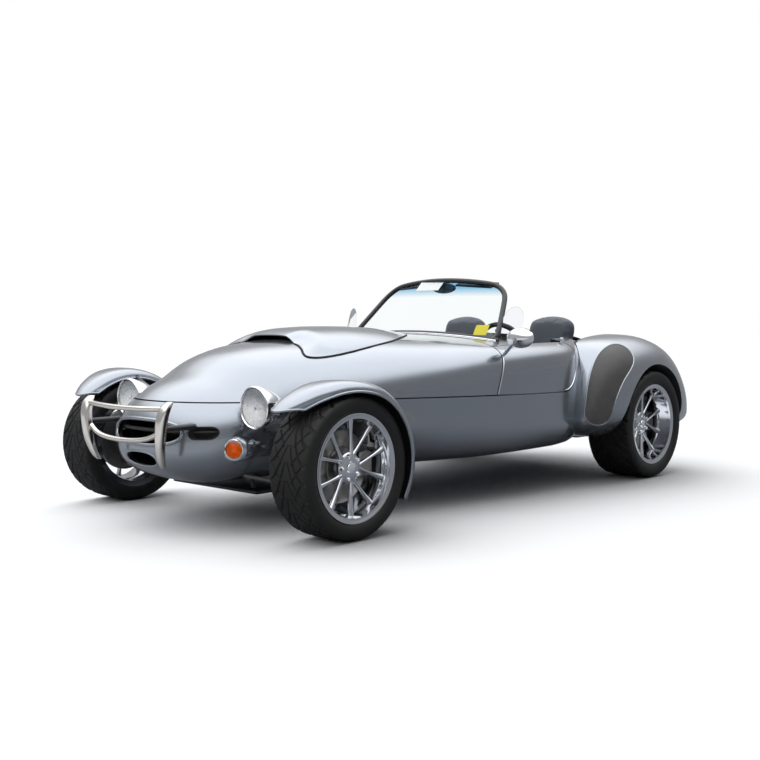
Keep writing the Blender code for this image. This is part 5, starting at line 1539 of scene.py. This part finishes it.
def wheel_parts(width, dish):
    """The polished wheel, its cap with nuts and valve, and the brake disc behind it."""
    rim = BEAD_SHARE * width
    lip = rim + 0.006
    barrel = [(LIP_RADIUS - 0.011, lip), (LIP_RADIUS - 0.007, lip + 0.002), (LIP_RADIUS - 0.003, lip + 0.002),
              (LIP_RADIUS, lip - 0.003), (LIP_RADIUS, rim + 0.001), (BEAD_RADIUS + 0.002, rim),
              (BEAD_RADIUS - 0.001, rim - 0.006), (BEAD_RADIUS - 0.001, -rim + 0.006),
              (BEAD_RADIUS + 0.002, -rim), (LIP_RADIUS, -rim - 0.001),
              (LIP_RADIUS, -lip), (BEAD_RADIUS - 0.008, -lip), (BEAD_RADIUS - 0.020, -rim + 0.030),
              (BEAD_RADIUS - 0.023, -rim + 0.050), (BEAD_RADIUS - 0.023, rim - dish - 0.012),
              (BEAD_RADIUS - 0.020, rim - dish + 0.002), (BEAD_RADIUS - 0.014, rim - dish + 0.012),
              (BEAD_RADIUS - 0.009, rim - 0.010), (BEAD_RADIUS - 0.006, rim + 0.002),
              (BEAD_RADIUS - 0.001, lip - 0.004), (BEAD_RADIUS + 0.003, lip - 0.003)]
    rim_skin = turned("rim", barrel[::-1], WHEEL_STEPS, closed=True)
    face = lip - dish
    reach = BEAD_RADIUS - 0.012
    hub = turned("hub", [(0.0, face + 0.002), (0.034, face + 0.002), (0.060, face - 0.001),
                         (HUB_RADIUS - 0.002, face - 0.008),
                         (HUB_RADIUS, face - 0.020), (HUB_RADIUS - 0.006, face - 0.045), (0.055, HUB_BACK + 0.052),
                         (0.055, HUB_BACK), (0.0, HUB_BACK)][::-1], 60)
    pieces = [rim_skin, hub]
    for pair in range(5):
        middle = 2 * math.pi * pair / 5 + math.pi / 2
        for lean in (-1, 1):
            start, end = middle + lean * ROOT_HALF_TURN, middle + lean * V_HALF_TURN
            inner = Vector((0.060 * math.cos(start), 0.060 * math.sin(start), face - 0.009))
            tip = Vector((reach * math.cos(end), reach * math.sin(end), face + 0.002))
            run = (tip - inner).normalized()
            across = Vector((-run.y, run.x, 0)).normalized()
            rings = []
            for share in spread(0, 1, 8):
                centre = inner.lerp(tip, share) + Vector((0, 0, -0.004 * math.sin(math.pi * share)))
                half = 0.0125 - 0.0035 * math.sin(math.pi * min(share * 1.15, 1.0)) + 0.003 * share**6
                deep = 0.013
                rings.append([tuple(centre + across * (half * math.cos(a)) + Vector((0, 0, deep * math.sin(a) - 0.004)))
                              for a in spread(0, 2 * math.pi, 14)[:-1]])
            pieces.append(loft("spoke", rings))
    polished = merged("rim", *pieces)
    nuts = []
    for k in range(5):
        angle = 2 * math.pi * (k + 0.5) / 5 + math.pi / 2
        at = Vector((0.054 * math.cos(angle), 0.054 * math.sin(angle), face - 0.004))
        nut = turned("nut", [(0.0, 0.016), (0.006, 0.015), (0.0095, 0.011), (0.0105, 0.0), (0.0, -0.004)][::-1], 6)
        nuts.append(moved(nut, Matrix.Translation(at)))
    cap = turned("cap", [(0.0, face + 0.014), (0.014, face + 0.013), (0.024, face + 0.009), (0.029, face + 0.001),
                         (0.029, face - 0.006), (0.0, face - 0.008)][::-1], 40)
    angle = math.pi / 2 + math.radians(36)
    start = Vector((0.198 * math.cos(angle), 0.198 * math.sin(angle), rim - dish - 0.008))
    valve = rod("valve", start, start + Vector((-0.012 * math.cos(angle), -0.012 * math.sin(angle), 0.030)), 0.0045,
                0.0035, 12)
    fittings = merged("fittings", cap, valve, *nuts)
    disc = turned("disc", [(0.050, 0.0), (DISC_RADIUS - 0.004, 0.0), (DISC_RADIUS, 0.002),
                           (DISC_RADIUS, DISC_THICKNESS - 0.002), (DISC_RADIUS - 0.004, DISC_THICKNESS),
                           (0.092, DISC_THICKNESS), (0.088, DISC_THICKNESS + 0.006),
                           (0.050, DISC_THICKNESS + 0.006)][::-1], 72, closed=True)
    moved(disc, Matrix.Translation((0, 0, HUB_BACK + 0.022)))
    return polished, fittings, disc


TREAD_STEPS = 900
TREAD_CROSSINGS = 46
GROOVE_DEPTH = 0.0065
GROOVES_ROUND = 26
GROOVES_START = 0.06
SLITS_ACROSS = (0.30, 0.95)
SHOULDER_START, SHOULDER_END = 0.90, 1.12


def groove_depth(turn, across):
    """How deep the tread is cut at a place: long swept grooves with short slits between them."""
    reach = abs(across)
    lead = 3.3 * reach**0.8 - 0.8 * reach**3
    phase = (turn * GROOVES_ROUND - lead) % 1.0
    width = 0.075 + 0.05 * reach
    depth = 0.0
    if abs(phase - 0.5) < width and reach > GROOVES_START:
        depth = 1.0
    slit = (turn * GROOVES_ROUND + 1.7 * reach) % 1.0
    if abs(slit - 0.5) < 0.05 and SLITS_ACROSS[0] < reach < SLITS_ACROSS[1] and abs(phase - 0.5) > 0.16:
        depth = 0.8
    if reach > SHOULDER_START:
        depth *= max(0.0, (SHOULDER_END - reach) / (SHOULDER_END - SHOULDER_START))
    return depth * GROOVE_DEPTH


def tyre_skin(radius, width):
    half = width / 2
    bead = BEAD_RADIUS + 0.0006
    side = [(bead, 0.34 * width), (bead, 0.415 * width), (0.236, 0.428 * width), (0.246, 0.436 * width),
            (0.251, 0.452 * width), (0.258, 0.476 * width), (0.262, 0.480 * width), (0.268, 0.494 * width),
            (radius - 0.044, half), (radius - 0.030, half), (radius - 0.018, half - 0.003),
            (radius - 0.009, half - 0.009)]
    tread_edge = half - 0.016
    tread = []
    for k in range(TREAD_CROSSINGS + 1):
        share = 1 - 2 * k / TREAD_CROSSINGS
        drop = 0.0045 * share**4
        tread.append((radius - 0.0005 - drop, share * tread_edge, share))
    rows = []
    for n in range(TREAD_STEPS):
        angle = 2 * math.pi * n / TREAD_STEPS
        c, s = math.cos(angle), math.sin(angle)
        ring = [(r * c, r * s, h) for r, h in side]
        for r, h, share in tread:
            r -= groove_depth(n / TREAD_STEPS, share)
            ring.append((r * c, r * s, h))
        ring += [(r * c, r * s, -h) for r, h in reversed(side)]
        ring += [((radius - 0.030) * c, (radius - 0.030) * s, h) for h in (-0.34 * width, 0.34 * width)]
        rows.append(ring + [ring[0]])
    return cleaned(grid("tyre", rows, wrap=True))


def placed_wheel(obj, x, y, z):
    return moved(obj, Matrix.Translation((x, y, z)) @ Matrix.Rotation(math.radians(90), 4, "Y"))


for end, x, y, radius, width, dish in (
    ("front", FRONT_WHEEL_X, FRONT_AXLE_Y, FRONT_TYRE_RADIUS, FRONT_TYRE_WIDTH, FRONT_DISH),
    ("rear", REAR_WHEEL_X, REAR_AXLE_Y, REAR_TYRE_RADIUS, REAR_TYRE_WIDTH, REAR_DISH),
):
    riders = (f"wheel_{end}_left", f"wheel_{end}_right")
    polished, fittings, disc = wheel_parts(width, dish)
    piece_pair(placed_wheel(polished, x, y, radius), f"{end}_rim", WHEEL_CHROME, riders, f"{end}_wheel",
               angle=40)
    piece_pair(placed_wheel(fittings, x, y, radius), f"{end}_nuts", CHROME, riders)
    piece_pair(placed_wheel(disc, x, y, radius), f"{end}_disc", DISC_STEEL, riders)
    piece_pair(placed_wheel(tyre_skin(radius, width), x, y, radius), f"{end}_tread", RUBBER, riders,
               f"{end}_tyre")


# Front springs

SPRING_RADIUS = 0.043
SPRING_TURNS = 8
coil = []
foot, top = Vector((0.552, FRONT_AXLE_Y, 0.262)), Vector((0.516, FRONT_AXLE_Y, 0.452))
axis = (top - foot).normalized()
side_a = axis.cross(Vector((0, 1, 0))).normalized()
side_b = axis.cross(side_a)
for share in spread(0, 1, SPRING_TURNS * 16):
    angle = 2 * math.pi * SPRING_TURNS * share
    coil.append(foot.lerp(top, share) + (side_a * math.cos(angle) + side_b * math.sin(angle)) * SPRING_RADIUS)
piece_pair(tube("coil", coil, 0.0058, sides=3), "front_spring", BLACK)


# Cabin

def extruded(name, outline, low_x, high_x, bevel):
    return bevelled(plate(name, outline, high_x - low_x, "YZ", (low_x + high_x) / 2), bevel, 3, 40)


dash = [(COWL_REAR_Y + 0.002, 0.640), (0.285, 0.640), (0.315, 0.690), (0.318, 0.760), (0.298, 0.815), (0.250, 0.845),
        (COWL_REAR_Y + 0.002, 0.858)]
dash = extruded("dash", [tuple(p.xy) for p in smooth_path([(y, z, 0) for y, z in dash], 3)], -0.585, 0.585, 0.012)
piece(dash, "dash_panel", DARK_LEATHER, replaces="dashboard")
for side, sign in SIDES:
    hump = turned("hump", [(0.0, 0.140), (0.086, 0.140), (0.092, 0.146), (0.100, 0.146), (0.1055, 0.138),
                           (0.1075, 0.10),
                           (0.106, 0.0), (0.0, -0.002)][::-1], 64)
    along(hump, (sign * SEAT_X, COWL_REAR_Y + 0.006, 0.800), REARWARD)
    piece(hump, f"dash_hump_{side}", DARK_LEATHER)
    for n, dx in enumerate((-0.046, 0.046)):
        place = (sign * SEAT_X + dx, COWL_REAR_Y + 0.1465, 0.806)
        ring = turned("ring", [(0.036, -0.002), (0.0385, -0.002), (0.0395, 0.005), (0.037, 0.007), (0.035, 0.004)], 40,
                      closed=True)
        piece(along(ring, place, REARWARD), f"gauge_ring_{side}_{n}", CHROME)
        face = turned("face", [(0.0, 0.001), (0.0345, 0.001), (0.036, -0.003), (0.0, -0.004)], 32)
        needle = rod("needle", (0, 0, 0.003), (0.020, 0.018, 0.003), 0.0012, 0.0005, 8)
        face, needle = along(face, place, REARWARD), along(needle, place, REARWARD)
        piece(merged("face", dressed(face, BLACK), dressed(needle, WHITE_CARD)), f"gauge_face_{side}_{n}",
              [BLACK, WHITE_CARD])


# Steering wheel

WHEEL_AXIS = Vector((0, math.cos(math.radians(WHEEL_TILT_DEG)), math.sin(math.radians(WHEEL_TILT_DEG))))


def on_column(back, aside=0.0, up=0.0):
    """A point on the steering column, back from the wheel's centre."""
    return WHEEL_CENTRE - WHEEL_AXIS * back + Vector((aside, 0, up))


column = rod("column", on_column(0.20), on_column(0.042), 0.026)
cover = rod("cover", on_column(0.13), on_column(0.05), 0.036, 0.030)
stalks = [rod("stalk", on_column(0.075), on_column(0.060, sign * 0.13, 0.012), 0.005, 0.007, 12) for _, sign in SIDES]
piece(merged("column", column, cover, *stalks), "steering_column", BLACK)
rim = tube("rim", [(WHEEL_RIM * math.cos(a), WHEEL_RIM * math.sin(a), 0.0) for a in spread(0, 2 * math.pi, 64)[:-1]],
           0.0145, cyclic=True, sides=6)
boss = turned("boss", [(0.0, 0.004), (0.024, 0.003), (0.036, -0.004), (0.041, -0.014), (0.041, -0.030), (0.032, -0.041),
                       (0.0, -0.041)][::-1], 40)
spokes = []
for k in range(3):
    angle = math.radians(-90 + 120 * k)
    end = Vector((WHEEL_RIM * math.cos(angle), WHEEL_RIM * math.sin(angle), 0.0))
    across = Vector((-end.y, end.x, 0)).normalized()
    rings = []
    for share, half in ((0.12, 0.024), (0.4, 0.016), (0.7, 0.013), (1.0, 0.017)):
        centre = end * share + Vector((0, 0, -0.018 * (1 - share)))
        rings.append([tuple(centre + across * half * sx + Vector((0, 0, 0.003 * sz)))
                      for sx, sz in ((-1, 0), (-0.8, 1), (0.8, 1), (1, 0), (0.8, -1), (-0.8, -1))])
    spokes.append(loft("spoke", rings))
turn = Matrix.Translation(WHEEL_CENTRE) @ Vector((0, 0, 1)).rotation_difference(WHEEL_AXIS).to_matrix().to_4x4()
piece(moved(merged("rim", rim, boss), turn), "wheel_grip", DARK_LEATHER, "steering_wheel_body",
      "steering_wheel")
piece(moved(merged("spokes", *spokes), turn), "wheel_spokes", ALLOY, "steering_wheel_body")


# Seats

MOST_SWELL = 0.009
SEAT_LEAN_DEG = 14.0
SEAT_MIDDLE_X = 0.350
HEAD_ROUND = 0.034
HEAD_HEIGHT = 0.12
WAIST_SHARE = 0.62


def stuffed(obj, voxel=0.0055, pressure=4.0):
    """Lets a cushion swell by a cloth simulation, with its movement held to a few millimetres."""
    remesh = obj.modifiers.new("remesh", "REMESH")
    remesh.mode = "VOXEL"
    remesh.voxel_size = voxel
    obj = fixed(obj)
    start = [v.co.copy() for v in obj.data.vertices]
    cloth = obj.modifiers.new("cloth", "CLOTH")
    cloth.settings.use_pressure = True
    cloth.settings.uniform_pressure_force = pressure
    cloth.settings.effector_weights.gravity = 0.0
    cloth.settings.tension_stiffness = 25.0
    cloth.settings.compression_stiffness = 25.0
    cloth.settings.bending_stiffness = 2.0
    cloth.settings.quality = 5
    scene = bpy.context.scene
    scene.frame_start, scene.frame_end = 1, 20
    cloth.point_cache.frame_start, cloth.point_cache.frame_end = 1, 20
    for frame_number in range(1, 21):
        scene.frame_set(frame_number)
    obj = fixed(obj)
    for v, before in zip(obj.data.vertices, start):
        push = v.co - before
        if push.length > MOST_SWELL:
            v.co = before + push.normalized() * MOST_SWELL
    scene.frame_set(1)
    return obj


def rounded_slab(name, low, high, radius, waist=0.0):
    """A slab with rounded corners and a rounded head; waist draws its sides in over the middle of its height."""
    slab = subdivided(subdivided(bevelled(box(name, low, high), radius, 3)))
    span = high[2] - low[2]
    for v in slab.data.vertices:
        above = max((v.co.z - (high[2] - HEAD_HEIGHT)) / HEAD_HEIGHT, 0.0)
        v.co.x *= 1 - waist * 5 * above**3
        v.co.z -= HEAD_ROUND * above * (v.co.x / high[0]) ** 2
        share = (v.co.z - low[2]) / span
        v.co.x *= 1 - waist * math.exp(-((share - WAIST_SHARE) / 0.12) ** 2)
    return slab


base = stuffed(rounded_slab("base", (-0.172, 0.395, 0.275), (0.195, 0.86, 0.422), 0.045))
base = moved(base, Matrix.Translation((SEAT_X, 0, 0)))
left, right = piece_pair(base, "seat_cushion", LEATHER, replaces="seat", angle=60)
lean = Matrix.Translation((SEAT_MIDDLE_X, 0.875, 0.33)) @ Matrix.Rotation(math.radians(-SEAT_LEAN_DEG), 4, "X")
backrest = stuffed(rounded_slab("back", (-0.172, -0.045, 0.01), (0.172, 0.045, 0.698), 0.044, 0.03))
left, right = piece_pair(moved(backrest, lean), "seat_backrest", LEATHER, angle=60)


# Gear lever and hand brake

boot_gaiter = turned("gaiter", [(0.0, 0.075), (0.014, 0.072), (0.020, 0.055), (0.034, 0.030), (0.048, 0.010),
                                (0.054, 0.0),
                                (0.0, -0.002)][::-1], 32)
lever = rod("lever", (0, 0, 0.06), (0, 0.010, 0.150), 0.0065)
grip = moved(turned("grip", [(0.0, 0.026), (0.014, 0.023), (0.022, 0.012), (0.024, 0.0), (0.019, -0.013),
                             (0.008, -0.022),
                             (0.0, -0.023)][::-1], 32), Matrix.Translation((0, 0.012, 0.165)))
gear = merged("gear", dressed(boot_gaiter, DARK_LEATHER), dressed(lever, CHROME), dressed(grip, ALLOY))
moved(gear, Matrix.Translation((0, 0.43, 0.459)))
piece(gear, "gear_lever", [DARK_LEATHER, CHROME, ALLOY])
brake = tube("brake", smooth_path([(0.045, 0.66, 0.462), (0.045, 0.62, 0.478), (0.045, 0.55, 0.500),
                                   (0.045, 0.49, 0.518)], 5),
             0.010, sides=5, radii=[1.0] * 5 + [0.8] * 5 + [1.3] * 6)
piece(brake, "hand_brake", BLACK)


# CAD nodes that stay in view

carried_over = {"cockpit_tub": CARPET, "engine": ENGINE_METAL, "steering_gear": ALLOY, "tie_rod": STEEL}
for side, _ in SIDES:
    carried_over[f"knuckle_{side}"] = ALLOY
    carried_over[f"front_suspension_{side}"] = STEEL
    carried_over[f"rear_suspension_{side}"] = STEEL
for name, look in carried_over.items():
    dressed(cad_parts[name], look)


# Camera, floor, world and lights

def make_camera():
    turn, tilt, roll = (math.radians(a) for a in (CAMERA_TURN_DEG, CAMERA_TILT_DEG, CAMERA_ROLL_DEG))
    back = Vector((math.sin(turn) * math.cos(tilt), -math.cos(turn) * math.cos(tilt), math.sin(tilt)))
    right = Vector((math.cos(turn), math.sin(turn), 0))
    up = back.cross(right)
    right, up = right * math.cos(roll) + up * math.sin(roll), up * math.cos(roll) - right * math.sin(roll)
    camera = bpy.data.objects.new("camera", bpy.data.cameras.new("camera"))
    bpy.context.scene.collection.objects.link(camera)
    camera.data.lens = CAMERA_LENS_MM
    camera.data.sensor_width = CAMERA_SENSOR_MM
    camera.matrix_world = Matrix((
        (right.x, up.x, back.x, CAMERA_PLACE[0]), (right.y, up.y, back.y, CAMERA_PLACE[1]),
        (right.z, up.z, back.z, CAMERA_PLACE[2]), (0, 0, 0, 1),
    ))
    bpy.context.scene.camera = camera


# Where the floor in the car's reflections turns from bright to dim
DIM_FLOOR_Y = (-3.1, -1.9)


def make_floor():
    """A pale floor: in the car's reflections it is bright ahead of the nose and dim beside the car."""
    floor = mesh_object("floor", [(-40, -40, 0), (40, -40, 0), (40, 40, 0), (-40, 40, 0)], [(0, 1, 2, 3)])
    made, tree, shader = new_material("pale_floor")
    place = object_place(tree)
    noise = noise_node(tree, place, 3.0)
    pale = mixed_colour(tree, noise.outputs["Fac"], (0.985, 0.985, 0.985, 1), (0.97, 0.97, 0.97, 1))
    beside = range_node(tree, parts_of(tree, place)["Y"], *DIM_FLOOR_Y)
    mirrored_floor = mixed_colour(tree, beside, (0.66, 0.67, 0.69, 1), (0.31, 0.322, 0.345, 1))
    path = tree.nodes.new("ShaderNodeLightPath")
    tree.links.new(mixed_colour(tree, path.outputs["Is Glossy Ray"], pale, mirrored_floor), shader.inputs["Base Color"])
    set_values(shader, Roughness=0.9, Specular_IOR_Level=0.0)
    floor.data.materials.append(made)


# The sky's brightness by the height it is seen at: in reflections, and as light
MIRRORED_SKY = ((0.0, 0.38), (0.30, 0.39), (0.42, 0.58), (0.52, 1.35), (0.65, 2.3), (0.85, 2.7), (1.0, 2.7))
SKY_LIGHT = ((0.0, 0.0), (0.22, 0.08), (0.42, 2.46), (1.0, 2.46))
LIT_SIDE = (-0.45, 0.35)
UNLIT = 0.06


def sky(tree, height, levels, share=None):
    """A background whose brightness follows the height, and where a share is given, that too."""
    ramp = tree.nodes.new("ShaderNodeValToRGB")
    tree.links.new(height, ramp.inputs["Fac"])
    elements = ramp.color_ramp.elements
    while len(elements) < len(levels):
        elements.new(0.5)
    for element, (position, value) in zip(elements, levels):
        element.position = position
        element.color = (value * 0.985, value, value * 1.02, 1)
    shade = tree.nodes.new("ShaderNodeBackground")
    tree.links.new(ramp.outputs["Color"], shade.inputs["Color"])
    if share:
        tree.links.new(share, shade.inputs["Strength"])
    return shade.outputs[0]


def make_world():
    """White to the camera and through glass; overhead it lights the scene, and near the floor it is dim."""
    world = bpy.data.worlds.new("studio")
    bpy.context.scene.world = world
    world.use_nodes = True
    tree = world.node_tree
    tree.nodes.clear()
    parts = parts_of(tree, tree.nodes.new("ShaderNodeTexCoord").outputs["Generated"])
    path = tree.nodes.new("ShaderNodeLightPath")
    shown = tree.nodes.new("ShaderNodeBackground")
    shown.inputs["Color"].default_value = (1, 1, 1, 1)
    glossy = tree.nodes.new("ShaderNodeMixShader")
    tree.links.new(path.outputs["Is Glossy Ray"], glossy.inputs[0])
    lit_side = range_node(tree, parts["X"], *LIT_SIDE, 1.0, UNLIT)
    tree.links.new(sky(tree, parts["Z"], SKY_LIGHT, lit_side), glossy.inputs[1])
    tree.links.new(sky(tree, parts["Z"], MIRRORED_SKY), glossy.inputs[2])
    direct = math_node(tree, "MAXIMUM", path.outputs["Is Camera Ray"], path.outputs["Is Transmission Ray"])
    final = tree.nodes.new("ShaderNodeMixShader")
    tree.links.new(direct, final.inputs[0])
    tree.links.new(glossy.outputs[0], final.inputs[1])
    tree.links.new(shown.outputs[0], final.inputs[2])
    out = tree.nodes.new("ShaderNodeOutputWorld")
    tree.links.new(final.outputs[0], out.inputs["Surface"])


def soft_light(name, at, aim, size, power):
    light = bpy.data.lights.new(name, "AREA")
    light.shape = "RECTANGLE"
    light.size, light.size_y = size
    light.energy = power
    obj = bpy.data.objects.new(name, light)
    bpy.context.scene.collection.objects.link(obj)
    obj.location = at
    obj.rotation_euler = (Vector(aim) - Vector(at)).to_track_quat("-Z", "Y").to_euler()
    obj.visible_glossy = False


make_camera()
make_floor()
make_world()
soft_light("overhead", (0.6, -0.6, 4.6), (0, -0.2, 0), (4.0, 6.0), 24)
bpy.context.scene.view_settings.view_transform = "Standard"
